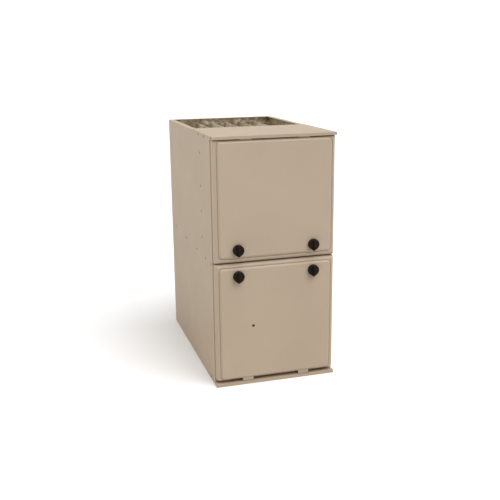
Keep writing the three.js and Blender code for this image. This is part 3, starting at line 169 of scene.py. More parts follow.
# Baked polyester enamel on steel: satin, with a faint orange peel, its colour a little darker
# towards the bottom.
def baked_enamel(name, colour):
    shade = tuple(0.93 * part for part in colour[:3]) + (1.0,)
    made = mottled(
        name, colour, shade, 260, 2.6, 0.03, 0.52, 0.05, IOR=1.45,
        Specular_IOR_Level=0.35,
    )
    tree = made.node_tree
    surface = tree.nodes["Principled BSDF"]
    tint = surface.inputs["Base Color"].links[0].from_socket
    height = add(
        tree,
        "ShaderNodeSeparateXYZ",
        links={0: add(tree, "ShaderNodeTexCoord").outputs["Object"]},
    )
    # Mixes the colour towards a darker brown from 0.9 m up down to the floor, most at the
    # bottom.
    low = add(
        tree,
        "ShaderNodeMapRange",
        {"From Min": 0.0, "From Max": 0.9, "To Min": 0.14, "To Max": 0.0},
        {"Value": height.outputs["Z"]},
    )
    darkened_low = add(
        tree,
        "ShaderNodeMix",
        {7: linear("9c8467")},
        {0: low.outputs[0], 6: tint},
        data_type="RGBA",
    )
    tree.links.new(darkened_low.outputs[2], surface.inputs["Base Color"])
    return made


# Hot-dip galvanised sheet: bright zinc crystals 6 to 9 mm across, each its own grey.
def galvanised_sheet(name, colour="b9bbb8", shade="9ea19f"):
    made, tree, surface = new_material(name, Metallic=0.85)
    place = add(tree, "ShaderNodeTexCoord").outputs["Object"]
    crystals = add(
        tree, "ShaderNodeTexVoronoi", {"Scale": per(8)}, {"Vector": place}
    )
    level = add(
        tree, "ShaderNodeSeparateColor", links={0: crystals.outputs["Color"]}
    )
    tint = add(
        tree,
        "ShaderNodeMix",
        {6: linear(colour), 7: linear(shade)},
        {0: level.outputs[0]},
        data_type="RGBA",
    )
    tree.links.new(tint.outputs[2], surface.inputs["Base Color"])
    gloss = add(
        tree,
        "ShaderNodeMapRange",
        {"To Min": 0.32, "To Max": 0.52},
        {"Value": level.outputs[1]},
    )
    tree.links.new(gloss.outputs[0], surface.inputs["Roughness"])
    waves = add(
        tree,
        "ShaderNodeTexNoise",
        {"Scale": per(35), "Detail": 2.0},
        {"Vector": place},
    )
    relief = add(
        tree,
        "ShaderNodeBump",
        {"Strength": 1.0, "Distance": 0.25 * MM},
        {"Height": waves.outputs["Fac"]},
    )
    tree.links.new(relief.outputs[0], surface.inputs["Normal"])
    return made


# Aluminised steel, pressed: satin silver tinted straw in patches, with draw marks from the
# die; the default's straw warmth is painted reflection of the beige enamel round the cells.
def aluminised_steel(name, colour="cbbfa8", shade="94835f"):
    return mottled(
        name, colour, shade, 90, 5, 0.08, 0.42, 0.09, even=0.58, Metallic=0.75
    )


# Foil-faced glass fibre: thin bright foil that follows the lumps of the batt and creases
# every 10 to 30 mm. Its colour darkens towards each crease, painted shade, and the default's
# warm beige hue is painted reflection of the enamel round it.
def creased_foil(name, colour="dccfb8", shade="9a8a70"):
    made, tree, surface = new_material(name, Metallic=0.7, Roughness=0.36)
    place = add(tree, "ShaderNodeTexCoord").outputs["Object"]
    bent = add(
        tree,
        "ShaderNodeTexNoise",
        {"Scale": per(60), "Detail": 3.0},
        {"Vector": place},
    )
    shifted = add(
        tree,
        "ShaderNodeVectorMath",
        {1: (0.06, 0.06, 0.06)},
        {0: bent.outputs["Color"]},
        operation="MULTIPLY",
    )
    warped = add(
        tree,
        "ShaderNodeVectorMath",
        links={0: place, 1: shifted.outputs[0]},
        operation="ADD",
    )
    creases = add(
        tree,
        "ShaderNodeTexVoronoi",
        {"Scale": per(24)},
        {"Vector": warped.outputs[0]},
        feature="F1",
    )
    lumps = add(
        tree,
        "ShaderNodeTexNoise",
        {"Scale": per(45), "Detail": 5.0},
        {"Vector": place},
    )
    height = add(
        tree,
        "ShaderNodeMath",
        links={0: creases.outputs["Distance"], 1: lumps.outputs["Fac"]},
        operation="ADD",
    )
    relief = add(
        tree,
        "ShaderNodeBump",
        {"Strength": 1.0, "Distance": 2.2 * MM},
        {"Height": height.outputs[0]},
    )
    tree.links.new(relief.outputs[0], surface.inputs["Normal"])
    # Painted shade: the colour goes from light in each facet's middle to dark at its creases.
    tint = add(
        tree,
        "ShaderNodeMix",
        {6: linear(colour), 7: linear(shade)},
        {0: creases.outputs["Distance"]},
        data_type="RGBA",
    )
    tree.links.new(tint.outputs[2], surface.inputs["Base Color"])
    return made


# Drawn or rolled metal with brush lines along one axis, 0.4 mm apart in the real one and drawn
# at 1.2 mm so that they show.
def brushed_metal(name, colour, shade, along, rough=0.3):
    made, tree, surface = new_material(name, Metallic=1.0)
    place = add(tree, "ShaderNodeTexCoord").outputs["Object"]
    stretch = [per(1.2)] * 3
    stretch["XYZ".index(along)] = per(80)
    lines = add(
        tree,
        "ShaderNodeMapping",
        {"Scale": stretch},
        {"Vector": place},
    )
    brushing = add(
        tree,
        "ShaderNodeTexNoise",
        {"Scale": 1.0, "Detail": 3.0},
        {"Vector": lines.outputs[0]},
    )
    tint = add(
        tree,
        "ShaderNodeMix",
        {6: linear(colour), 7: linear(shade)},
        {0: brushing.outputs["Fac"]},
        data_type="RGBA",
    )
    tree.links.new(tint.outputs[2], surface.inputs["Base Color"])
    gloss = add(
        tree,
        "ShaderNodeMapRange",
        {"To Min": rough - 0.1, "To Max": rough + 0.12},
        {"Value": brushing.outputs["Fac"]},
    )
    tree.links.new(gloss.outputs[0], surface.inputs["Roughness"])
    relief = add(
        tree,
        "ShaderNodeBump",
        {"Strength": 0.5, "Distance": 0.05 * MM},
        {"Height": brushing.outputs["Fac"]},
    )
    tree.links.new(relief.outputs[0], surface.inputs["Normal"])
    return made


# Injection-moulded plastic: a fine spark-eroded grain and a satin skin.
def moulded_plastic(name, colour, shade, rough=0.45):
    return mottled(name, colour, shade, 40, 0.9, 0.05, rough, 0.07, IOR=1.5)


# Sand-cast aluminium: grey and pebbled, 1 to 2 mm grit, machined faces left as they are.
def cast_aluminium(name, colour="a9aaa6", shade="8d8e8a"):
    return mottled(name, colour, shade, 30, 1.6, 0.22, 0.5, 0.08, Metallic=0.9)


# Black mill-scale pipe, wiped with thread oil.
def black_pipe(name, colour="35322e", shade="4a4038"):
    return mottled(name, colour, shade, 22, 1.2, 0.08, 0.5, 0.12, Metallic=0.55)


# Stove paint over stamped steel: thin, semi-gloss, slightly dusty on top.
def stove_paint(name, colour="242220", shade="35332f"):
    return mottled(name, colour, shade, 60, 1.8, 0.04, 0.42, 0.1, IOR=1.5)


# Moulded rubber: dull, with bloom that greys it in patches.
def moulded_rubber(name, colour="232220", shade="3a3936"):
    return mottled(name, colour, shade, 25, 1.1, 0.06, 0.78, 0.08, IOR=1.52)


# Steatite ceramic: off-white and chalky.
def steatite(name, colour="e6e0d2", shade="d3c9b5"):
    return mottled(name, colour, shade, 12, 0.8, 0.04, 0.72, 0.08, IOR=1.56)


# Silicone tube: milky, light passes into it.
def silicone_tube(name, colour="d9d5c6", shade="c9c2ae"):
    return mottled(
        name, colour, shade, 30, 2.0, 0.02, 0.3, 0.05, IOR=1.41,
        Transmission_Weight=0.35,
    )


# Glass-epoxy circuit board: green solder mask over copper tracks about 1 mm wide, drawn as
# stepped bands.
def circuit_board(name, colour="2c5c3c", shade="3b7450"):
    made, tree, surface = new_material(name, IOR=1.55, Coat_Weight=0.4)
    place = add(tree, "ShaderNodeTexCoord").outputs["Object"]
    tracks = add(
        tree,
        "ShaderNodeTexBrick",
        {
            "Color1": linear(colour),
            "Color2": linear(shade),
            "Mortar": linear("214a2f"),
            "Scale": per(22),
            "Mortar Size": 0.03,
            "Bias": -0.2,
        },
        {
            "Vector": add(
                tree,
                "ShaderNodeMapping",
                {"Rotation": (math.radians(90), 0, 0)},
                {"Vector": place},
            ).outputs[0]
        },
    )
    tree.links.new(tracks.outputs["Color"], surface.inputs["Base Color"])
    gloss = add(
        tree,
        "ShaderNodeMapRange",
        {"To Min": 0.3, "To Max": 0.45},
        {"Value": tracks.outputs["Fac"]},
    )
    tree.links.new(gloss.outputs[0], surface.inputs["Roughness"])
    relief = add(
        tree,
        "ShaderNodeBump",
        {"Strength": 0.6, "Distance": 0.08 * MM},
        {"Height": tracks.outputs["Fac"]},
    )
    tree.links.new(relief.outputs[0], surface.inputs["Normal"])
    return made


# Tinned or zinc-plated steel, as on screws and clips: bright, a little yellow.
def zinc_plate(name, colour="bdb9ac", shade="9f9a8b"):
    return mottled(name, colour, shade, 6, 0.8, 0.03, 0.34, 0.08, Metallic=1.0)


# Extruded vinyl wire jacket.
def vinyl_jacket(name, colour):
    return mottled(name, colour, colour, 8, 0.7, 0.02, 0.4, 0.06, IOR=1.53)


# Clear acrylic lens over a small lamp.
def acrylic_lens(name, colour="46301e"):
    return mottled(
        name, colour, "2e1f14", 4, 1.0, 0.02, 0.15, 0.05, IOR=1.49,
        Transmission_Weight=0.4,
    )


MATERIALS = {}


def use(name):
    """The finish of that name, made the first time it is asked for."""
    if name not in MATERIALS:
        MATERIALS[name] = RECIPES[name](name)
    return MATERIALS[name]


RECIPES = {
    "casing_baked_enamel": lambda n: baked_enamel(n, colours().casing),
    "door_baked_enamel": lambda n: baked_enamel(n, colours().door),
    "galvanised_sheet": galvanised_sheet,
    "galvanised_stamping": lambda n: galvanised_sheet(n, "b0b1ac", "95968f"),
    "aluminised_steel": aluminised_steel,
    "burner_aluminised_steel": lambda n: aluminised_steel(n, "a9a296", "7d6a52"),
    "creased_foil": creased_foil,
    "blanket_foil": lambda n: creased_foil(n, "c6c5be", "8f8d84"),
    "brushed_stainless_y": lambda n: brushed_metal(n, "c0beb9", "9c9993", "Y"),
    "turned_steel": lambda n: brushed_metal(n, "b4b2ac", "95928b", "X", 0.26),
    "drawn_can": lambda n: brushed_metal(n, "c8c7c2", "b2b0aa", "Z", 0.24),
    "cast_aluminium": cast_aluminium,
    "black_pipe": black_pipe,
    "black_stove_paint": stove_paint,
    "black_nylon": lambda n: moulded_plastic(n, "26211b", "352e26"),
    "knob_black_abs": lambda n: mottled(
        n, "1c1104", "130b03", 40, 0.9, 0.05, 0.6, 0.05, IOR=1.45, Specular_IOR_Level=0.2
    ),
    "grey_vinyl": lambda n: moulded_plastic(n, "5a5c5e", "6a6c6d", 0.42),
    "red_nylon": lambda n: moulded_plastic(n, "a1301f", "b8432e", 0.36),
    "moulded_rubber": moulded_rubber,
    "steatite": steatite,
    "silicone_tube": silicone_tube,
    "circuit_board": circuit_board,
    "zinc_plate": zinc_plate,
    # Zinc coloured dark brown-grey for the side screw heads: painted shade.
    "dulled_zinc": lambda n: zinc_plate(n, "5c5142", "463d31"),
    "laminated_core": lambda n: mottled(
        n, "5b5954", "45423d", 20, 0.9, 0.12, 0.5, 0.08, Metallic=0.8
    ),
    "acrylic_lens": acrylic_lens,
    "wire_white": lambda n: vinyl_jacket(n, "dedbd0"),
    "wire_blue": lambda n: vinyl_jacket(n, "2b4f86"),
    "wire_red": lambda n: vinyl_jacket(n, "9a2a22"),
    "wire_yellow": lambda n: vinyl_jacket(n, "c9a22b"),
}


# ---------------------------------------------------------------- mesh helpers


def finish_node(node, name):
    """Gives a CAD node its finish."""
    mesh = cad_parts[node].data
    mesh.materials.clear()
    mesh.materials.append(use(name))


def soften(node, width_mm, segments=2, angle=32):
    """Rounds a CAD node's sharp edges by its sheet's bend radius, and shades it smooth."""
    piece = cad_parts[node]
    edge = piece.modifiers.new("bend_radius", "BEVEL")
    edge.width = width_mm * MM
    edge.segments = segments
    edge.limit_method = "ANGLE"
    edge.angle_limit = math.radians(angle)
    edge.harden_normals = True
    piece.data.shade_smooth()


def shade(node, angle=35):
    """Shades a CAD node smooth up to that angle between faces."""
    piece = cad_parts[node]
    piece.data.shade_smooth()
    piece.data.set_sharp_from_angle(angle=math.radians(angle))


def object_of(name, build, finish, body, smooth=35):
    """A new piece from a bmesh, shaded, finished and riding on a body."""
    mesh = bpy.data.meshes.new(name)
    build.normal_update()
    bmesh.ops.recalc_face_normals(build, faces=build.faces)
    build.to_mesh(mesh)
    build.free()
    mesh.shade_smooth()
    mesh.set_sharp_from_angle(angle=math.radians(smooth))
    mesh.materials.append(use(finish))
    made = bpy.data.objects.new(name, mesh)
    bpy.context.scene.collection.objects.link(made)
    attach(made, body)
    return made


def lathe(build, profile, place, steps):
    """Turns (radius, height) points, in millimetres, about the Z of a placing matrix."""
    rows = []
    for radius, height in profile:
        row = []
        for i in range(steps):
            turn = 2 * math.pi * i / steps
            point = Vector((radius * math.cos(turn), radius * math.sin(turn), height))
            row.append(build.verts.new(place @ (point * MM)))
        rows.append(row)
    for low, high in zip(rows, rows[1:]):
        for i in range(steps):
            j = (i + 1) % steps
            build.faces.new((low[i], low[j], high[j], high[i]))
    build.faces.new(reversed(rows[0]))
    build.faces.new(rows[-1])


def rounded_bar(build, x0, x1, y0, y1, z0, z1, taper, radius):
    """A bar with rounded edges, in millimetres, narrower by taper at its y0 face."""
    before = set(build.verts)
    corners = []
    for y, pull in ((y0, taper), (y1, 0.0)):
        for x, z in ((x0 + pull, z0 + pull), (x1 - pull, z0 + pull), (x1 - pull, z1 - pull),
                     (x0 + pull, z1 - pull)):
            corners.append(build.verts.new((x * MM, y * MM, z * MM)))
    a, b, c, d, e, f, g, h = corners
    for face in ((d, c, b, a), (e, f, g, h), (a, b, f, e), (b, c, g, f), (c, d, h, g),
                 (d, a, e, h)):
        build.faces.new(face)
    fresh = [v for v in build.verts if v not in before]
    edges = {edge for v in fresh for edge in v.link_edges}
    bmesh.ops.bevel(
        build, geom=list(edges), offset=radius * MM, segments=3, profile=0.5,
        affect="EDGES", clamp_overlap=True,
    )


def facing(point_mm, direction):
    """Placing matrix at a point in millimetres whose Z runs along a direction."""
    turn = Vector(direction).to_track_quat("Z", "Y").to_matrix().to_4x4()
    return Matrix.Translation(Vector(point_mm) * MM) @ turn


def hex_screw(build, place, across, washer, turn):
    """Slotless hex washer head of a number 8 sheet screw, cut down into a shallow cup."""
    place = place @ Matrix.Rotation(turn, 4, "Z")
    lathe(
        build,
        [(2.0, -1.0), (washer / 2, -0.05), (washer / 2, 0.7), (across / 2 + 0.2, 1.2)],
        place,
        20,
    )
    flats = across / math.sqrt(3)
    lathe(
        build,
        [(flats, 1.1), (flats, 3.4), (flats * 0.9, 4.1), (flats * 0.62, 4.15),
         (flats * 0.5, 3.6)],
        place,
        6,
    )


def wire_along(name, points_mm, radius_mm, finish):
    """A jacketed wire in the cabinet along points, ended inside what it joins."""
    curve = bpy.data.curves.new(name, "CURVE")
    curve.dimensions = "3D"
    curve.resolution_u = 5
    curve.bevel_depth = radius_mm * MM
    curve.bevel_resolution = 2
    curve.use_fill_caps = True
    spline = curve.splines.new("NURBS")
    spline.points.add(len(points_mm) - 1)
    for point, (x, y, z) in zip(spline.points, points_mm):
        point.co = (x * MM, y * MM, z * MM, 1.0)
    spline.order_u = 3
    spline.use_endpoint_u = True
    curve.materials.append(use(finish))
    made = bpy.data.objects.new(name, curve)
    bpy.context.scene.collection.objects.link(made)
    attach(made, "cabinet")


# ---------------------------------------------------------------- settings


class FurnaceSizes(bpy.types.PropertyGroup):
    """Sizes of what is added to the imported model."""

    screw_across: bpy.props.FloatProperty(
        name="Screw across flats",
        description="Width of the sheet screws' hexagon heads",
        default=7.9 * MM,
        min=0.004,
        max=0.014,
        unit="LENGTH",
    )
    bend_radius: bpy.props.FloatProperty(
        name="Bend radius",
        description="Outside radius where the painted sheet is folded",
        default=1.1 * MM,
        min=0.0,
        max=0.003,
        unit="LENGTH",
    )
    wire_radius: bpy.props.FloatProperty(
        name="Wire radius",
        description="Outside radius of the jacketed wires",
        default=1.4 * MM,
        min=0.0005,
        max=0.004,
        unit="LENGTH",
    )
    key_light: bpy.props.FloatProperty(
        name="Key light",
        description="Strength of the high light at the right front",
        default=2.75,
        min=0.0,
        max=10.0,
    )


class FurnaceColours(bpy.types.PropertyGroup):
    """Colours of the enamel and of the studio."""

    casing: bpy.props.FloatVectorProperty(
        name="Casing",
        description="Baked enamel of the casing, top panel and base rail",
        default=linear("bba993"),
        size=4,
        min=0.0,
        max=1.0,
        subtype="COLOR",
    )
    door: bpy.props.FloatVectorProperty(
        name="Doors",
        description="Baked enamel of the two doors",
        default=linear("c0ae99"),
        size=4,
        min=0.0,
        max=1.0,
        subtype="COLOR",
    )
    floor: bpy.props.FloatVectorProperty(
        name="Floor",
        description="Studio floor and backdrop",
        default=linear("ffffff"),
        size=4,
        min=0.0,
        max=1.0,
        subtype="COLOR",
    )


def sizes():
    return bpy.context.scene.furnace_sizes


def colours():
    return bpy.context.scene.furnace_colours


# ---------------------------------------------------------------- casing and doors


class FURNACE_OT_casing(bpy.types.Operator):
    """Enamels the casing and finishes the galvanised panels inside it"""

    bl_idname = "furnace.casing"
    bl_label = "Casing"

    def execute(self, context):
        bend = sizes().bend_radius / MM
        for node in ("casing_shell", "top_panel", "base_rail"):
            finish_node(node, "casing_baked_enamel")
            soften(node, bend * 0.45)
        for node in ("blower_shelf", "latch_rail", "cell_panel"):
            finish_node(node, "galvanised_sheet")
            soften(node, bend * 0.4)
        finish_node("liner", "creased_foil")
        shade("liner")
        return {"FINISHED"}


# Sizes of the pressed doors, in millimetres.
DOOR_MARGIN = 14.0  # side edge to raised panel
PANEL_RISE = 4.5  # front of the panel before the margin
PANEL_CORNER = 13.0
EDGE_CORNER = 3.0
ROLL_WIDTH = 11.5
ROLL_DEPTH = 12.0
DOOR_SHEET = 1.2
TAB_AT = (-105.0, 105.0)
TAB_HALF = 20
SIGHT_PORT = (-85.0, 220.0, 5.0)  # x, z and radius

# Each door's foot and head, then its panel's, its tabs' and its port, in millimetres.
DOORS = (
    ("upper", (454.25, 877.3), (470.25, 872.8), (876.0, 884.3), None),
    ("lower", (22.5, 449.75), (24.5, 435.75), (4.0, 25.5), SIGHT_PORT),
)


def door_ring(half, foot, head, corner, y, steps=6):
    """Points of a rectangle with rounded corners at one depth, in millimetres."""
    points = []
    for x, z, start in (
        (half - corner, foot + corner, -90),
        (half - corner, head - corner, 0),
        (corner - half, head - corner, 90),
        (corner - half, foot + corner, 180),
    ):
        for i in range(steps + 1):
            turn = math.radians(start + 90 * i / steps)
            points.append((x + corner * math.cos(turn), y, z + corner * math.sin(turn)))
    return points


def pressed_door(build, half, door_z, panel_half, panel_z, depths, port=None):
    """Door skin from its rear edge: rolled edge, flat margin, groove, raised panel."""
    front, rim, back = depths
    foot, head = door_z
    margins = (half - panel_half, panel_z[0] - foot, head - panel_z[1])
    rolls = [min(ROLL_WIDTH, 0.8 * margin) for margin in margins]
    levels = [((0.0, 0.0, 0.0), EDGE_CORNER, back)]
    for i in range(7):
        turn = math.radians(15 * i)
        share = 1 - math.cos(turn)
        inset = [roll * share for roll in rolls]
        y = rim + ROLL_DEPTH * (1 - math.sin(turn))
        levels.append((inset, EDGE_CORNER + EDGE_CORNER * share, y))
    for off, y in (
        (2.0, rim + 0.2), (1.2, rim + 2.2), (0.2, rim + 2.2), (-0.5, rim - 0.4),
        (-5.2, front + 0.5), (-6.4, front + 0.1), (-7.6, front),
    ):
        inset = [
            margin - min(off, 0.9 * (margin - roll)) for margin, roll in zip(margins, rolls)
        ]
        levels.append((inset, PANEL_CORNER + off, y))
    rows = [
        [
            build.verts.new(Vector(point) * MM)
            for point in door_ring(half - side, foot + low, head - top, corner, y)
        ]
        for (side, low, top), corner, y in levels
    ]
    count = len(rows[0])
    for near, far in zip(rows, rows[1:]):
        for i in range(count):
            j = (i + 1) % count
            build.faces.new((near[i], near[j], far[j], far[i]))
    if port is None:
        build.faces.new(rows[-1])
        return
    rim_points = [
        build.verts.new(
            Vector(
                (port[0] + port[2] * math.cos(math.pi * i / 10), front,
                 port[1] + port[2] * math.sin(math.pi * i / 10))
            ) * MM
        )
        for i in range(20)
    ]
    loops = [
        build.edges.get((loop[i], loop[(i + 1) % len(loop)]))
        or build.edges.new((loop[i], loop[(i + 1) % len(loop)]))
        for loop in (rows[-1], rim_points)
        for i in range(len(loop))
    ]
    bmesh.ops.triangle_fill(build, use_beauty=True, use_dissolve=False, edges=loops)
    wall = [build.verts.new(point.co + Vector((0, 2.0 * MM, 0))) for point in rim_points]
    for i in range(20):
        j = (i + 1) % 20
        build.faces.new((rim_points[i], rim_points[j], wall[j], wall[i]))


class FURNACE_OT_doors(bpy.types.Operator):
    """Presses and enamels the two doors, and fits the blanket and the sight glass"""

    bl_idname = "furnace.doors"
    bl_label = "Doors"

    def execute(self, context):
        for row, door_z, panel_z, tab_z, port in DOORS:
            node = f"{row}_door"
            low, high = (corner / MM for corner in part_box(node))
            rim = low.y + PANEL_RISE
            build = bmesh.new()
            pressed_door(
                build, high.x, door_z, high.x - DOOR_MARGIN, panel_z,
                (low.y, rim, high.y), port,
            )
            skin = object_of(f"{row}_door_skin", build, "door_baked_enamel", node,
                             25)
            sheet = skin.modifiers.new("sheet", "SOLIDIFY")
            sheet.thickness = DOOR_SHEET * MM
            sheet.offset = -1.0
            flat = skin.modifiers.new("flat", "WEIGHTED_NORMAL")
            flat.keep_sharp = True
            tabs = bmesh.new()
            tab_y = rim + (1.5 if row == "upper" else 0.0)
            for x in TAB_AT:
                rounded_bar(
                    tabs, x - TAB_HALF, x + TAB_HALF, tab_y, tab_y + DOOR_SHEET, *tab_z,
                    0.0, 0.5,
                )
            object_of(f"{row}_door_tabs", tabs, "door_baked_enamel", node,
                      40)
            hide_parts(node)
        glass = bmesh.new()
        port_x, port_z, _ = SIGHT_PORT
        lathe(
            glass, [(5.0, 0.0), (5.0, 1.4), (4.3, 1.9), (3.8, 1.2), (2.0, 1.5), (0.4, 1.6)],
            facing((port_x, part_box("lower_door")[0].y / MM + 2.4, port_z), (0, -1, 0)), 24,
        )
        object_of("sight_glass", glass, "acrylic_lens", "lower_door", 40)
        finish_node("door_blanket", "blanket_foil")
        soften("door_blanket", 4, 3)
        return {"FINISHED"}


KNOB_RADIUS = 19.5  # millimetres, as is the pointer's reach
KNOB_TIP = 24.0


# Outline of the knob in (x, z), millimetres: a disc drawn out to a short pointer below.
def knob_outline(radius, tip, steps=44):
    limit = math.acos(radius / tip)
    points = []
    for i in range(steps):
        turn = -math.pi / 2 + 2 * math.pi * i / steps
        off = math.pi - abs(math.pi - abs(turn + math.pi / 2))
        reach = radius / math.cos(limit - off) if off < limit else radius
        points.append((reach * math.cos(turn), reach * math.sin(turn)))
    return points


def knob_head(build, centre, front_mm, back_mm):
    """Domed disc with a rolled rim, from its back face to its front."""
    x0, z0 = centre
    levels = [
        (1.0, back_mm),
        (1.0, front_mm + 3.0),
        (0.975, front_mm + 1.3),
        (0.93, front_mm + 0.35),
        (0.86, front_mm),
        (0.80, front_mm + 0.25),
        (0.74, front_mm + 0.9),
        (0.35, front_mm + 0.7),
        (0.0, front_mm + 0.6),
    ]
    outline = knob_outline(KNOB_RADIUS, KNOB_TIP)
    rows = []
    for share, y in levels[:-1]:
        row = []
        for x, z in outline:
            row.append(build.verts.new(((x0 + x * share) * MM, y * MM, (z0 + z * share) * MM)))
        rows.append(row)
    middle = build.verts.new((x0 * MM, levels[-1][1] * MM, z0 * MM))
    count = len(outline)
    for low, high in zip(rows, rows[1:]):
        for i in range(count):
            j = (i + 1) % count
            build.faces.new((low[i], low[j], high[j], high[i]))
    for i in range(count):
        build.faces.new((rows[-1][i], rows[-1][(i + 1) % count], middle))
    build.faces.new(reversed(rows[0]))


class FURNACE_OT_knobs(bpy.types.Operator):
    """Turns the four latch knobs, with their grips, stems and catch bars"""

    bl_idname = "furnace.knobs"
    bl_label = "Latch knobs"

    def execute(self, context):
        for row in ("upper", "lower"):
            for side in ("left", "right"):
                node = f"{row}_knob_{side}"
                low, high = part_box(node)
                x0 = (low.x + high.x) / 2 / MM
                z0 = high.z / MM - KNOB_RADIUS
                front = low.y / MM + 7.0
                door_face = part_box("base_rail")[0].y / MM
                back = door_face - 0.3
                build = bmesh.new()
                knob_head(build, (x0, z0), front, back)
                rounded_bar(
                    build, x0 - 4.0, x0 + 4.0, low.y / MM, front + 2.0, z0 - 15.5, z0 + 16.5,
                    0.8, 1.6,
                )
                bar_back = high.y / MM
                lathe(
                    build, [(4.0, 0.0), (4.0, bar_back - 2.0 - back)],
                    facing((x0, back - 0.2, z0), (0, 1, 0)), 16,
                )
                rounded_bar(
                    build, x0 - 3.5, x0 + 3.5, bar_back - 4.0, bar_back, z0 - 12.0,
                    z0 + 12.0, 0.0, 1.0,
                )
                made = object_of(
                    f"latch_{row}_{side}", build, "knob_black_abs", node, 40
                )
                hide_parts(node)
        return {"FINISHED"}


# ---------------------------------------------------------------- inside pieces


FINISH_OF = {
    "secondary_coil": ("brushed_stainless_y", 30),
    "coupling_box": ("aluminised_steel", 30),
    "collector_box": ("black_nylon", 30),
    "burner_box": ("aluminised_steel", 30),
    "gas_manifold": ("black_pipe", 40),
    "gas_valve": ("cast_aluminium", 35),
    "gas_valve_lever": ("red_nylon", 35),
    "igniter": ("steatite", 35),
    "flame_sensor": ("steatite", 35),
    "limit_switch": ("black_nylon", 35),
    "rollout_switch_left": ("black_nylon", 35),
    "rollout_switch_right": ("black_nylon", 35),
    "rollout_button_left": ("red_nylon", 35),
    "rollout_button_right": ("red_nylon", 35),
    "inducer_housing": ("black_nylon", 35),
    "inducer_wheel": ("brushed_stainless_y", 30),
    "inducer_motor": ("galvanised_stamping", 35),
    "inducer_fan": ("black_nylon", 35),
    "vent_coupling": ("moulded_rubber", 40),
    "vent_pipe": ("grey_vinyl", 40),
    "pressure_switch": ("galvanised_stamping", 35),
    "pressure_tube": ("silicone_tube", 50),
    "condensate_trap": ("grey_vinyl", 35),
    "drain_hose": ("moulded_rubber", 50),
    "junction_box": ("galvanised_stamping", 30),
    "blower_housing": ("galvanised_sheet", 30),
    "blower_wheel": ("galvanised_stamping", 25),
    "blower_shaft": ("turned_steel", 35),
    "blower_motor": ("black_stove_paint", 35),
    "motor_mount": ("galvanised_stamping", 30),
    "run_capacitor": ("drawn_can", 40),
    "control_bracket": ("galvanised_stamping", 30),
    "control_board": ("circuit_board", 30),
    "transformer": ("laminated_core", 30),
    "door_switch": ("black_nylon", 35),
    "door_switch_plunger": ("red_nylon", 35),
}
for number in range(1, 6):
    FINISH_OF[f"heat_cell_{number}"] = ("aluminised_steel", 28)
    FINISH_OF[f"burner_{number}"] = ("burner_aluminised_steel", 40)


def finish_group(nodes):
    """Finishes and shades the CAD nodes of one group."""
    for node in nodes:
        name, angle = FINISH_OF[node]
        finish_node(node, name)
        shade(node, angle)


def screws_on(name, places):
    """One object of screw heads in the cabinet, each at a point and facing a direction."""
    across = sizes().screw_across / MM
    build = bmesh.new()
    for i, (point, direction) in enumerate(places):
        hex_screw(build, facing(point, direction), across, across * 1.33, 0.4 * i)
    object_of(name, build, "zinc_plate", "cabinet", 30)


class FURNACE_OT_exchanger(bpy.types.Operator):
    """Finishes the heat cells, the condensing coil and their boxes"""

    bl_idname = "furnace.exchanger"
    bl_label = "Heat exchanger"

    def execute(self, context):
        finish_group(
            [f"heat_cell_{i}" for i in range(1, 6)]
            + ["secondary_coil", "coupling_box", "collector_box"]
        )
        low, high = (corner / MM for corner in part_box("collector_box"))
        edge = [(x, low.y + 4.0, z) for x in (low.x + 6, high.x - 6) for z in (500, 560)]
        screws_on("collector_screws", [(p, (0, -1, 0)) for p in edge])
        return {"FINISHED"}


class FURNACE_OT_burners(bpy.types.Operator):
    """Finishes the burners, their box, the manifold, the gas valve and the flame controls"""

    bl_idname = "furnace.burners"
    bl_label = "Burners and gas"

    def execute(self, context):
        finish_group(
            [f"burner_{i}" for i in range(1, 6)]
            + ["burner_box", "gas_manifold", "gas_valve", "gas_valve_lever", "igniter",
               "flame_sensor", "limit_switch", "rollout_switch_left",
               "rollout_switch_right", "rollout_button_left", "rollout_button_right"]
        )
        return {"FINISHED"}


class FURNACE_OT_inducer(bpy.types.Operator):
    """Finishes the draft inducer, the vent, the pressure switch and the condensate drain"""

    bl_idname = "furnace.inducer"
    bl_label = "Inducer and vent"

    def execute(self, context):
        finish_group(
            ["inducer_housing", "inducer_wheel", "inducer_motor", "inducer_fan",
             "vent_coupling", "vent_pipe", "pressure_switch", "pressure_tube",
             "condensate_trap", "drain_hose", "junction_box"]
        )
        return {"FINISHED"}


class FURNACE_OT_blower(bpy.types.Operator):
    """Finishes the blower wheel, its scroll housing, motor and capacitor"""

    bl_idname = "furnace.blower"
    bl_label = "Blower"

    def execute(self, context):
        finish_group(
            ["blower_housing", "blower_wheel", "blower_shaft", "blower_motor",
             "motor_mount", "run_capacitor"]
        )
        return {"FINISHED"}


# Low-voltage runs from the board to the transformer and to the door switch, in millimetres.
CONTROL_WIRES = (
    ("wire_red", [(-34, -314, 236), (-34, -340, 240), (-6, -345, 250), (14, -342, 232),
                  (14, -322, 208)]),
    ("wire_blue", [(-44, -314, 236), (-44, -341, 244), (-4, -347, 258), (26, -344, 236),
                   (26, -322, 208)]),
    ("wire_white", [(-66, -314, 244), (-66, -340, 258), (-40, -345, 300), (2, -342, 328),
                    (18, -318, 324)]),
    ("wire_yellow", [(-76, -314, 244), (-76, -341, 262), (-46, -347, 308), (0, -344, 338),
                     (18, -318, 336)]),
)


class FURNACE_OT_controls(bpy.types.Operator):
    """Finishes the control board, transformer and door switch"""

    bl_idname = "furnace.controls"
    bl_label = "Controls"

    def execute(self, context):
        finish_group(
            ["control_bracket", "control_board", "transformer", "door_switch",
             "door_switch_plunger"]
        )
        for name, points in CONTROL_WIRES:
            wire_along(f"{name}_run", points, sizes().wire_radius / MM, name)
        return {"FINISHED"}


# ---------------------------------------------------------------- side screws


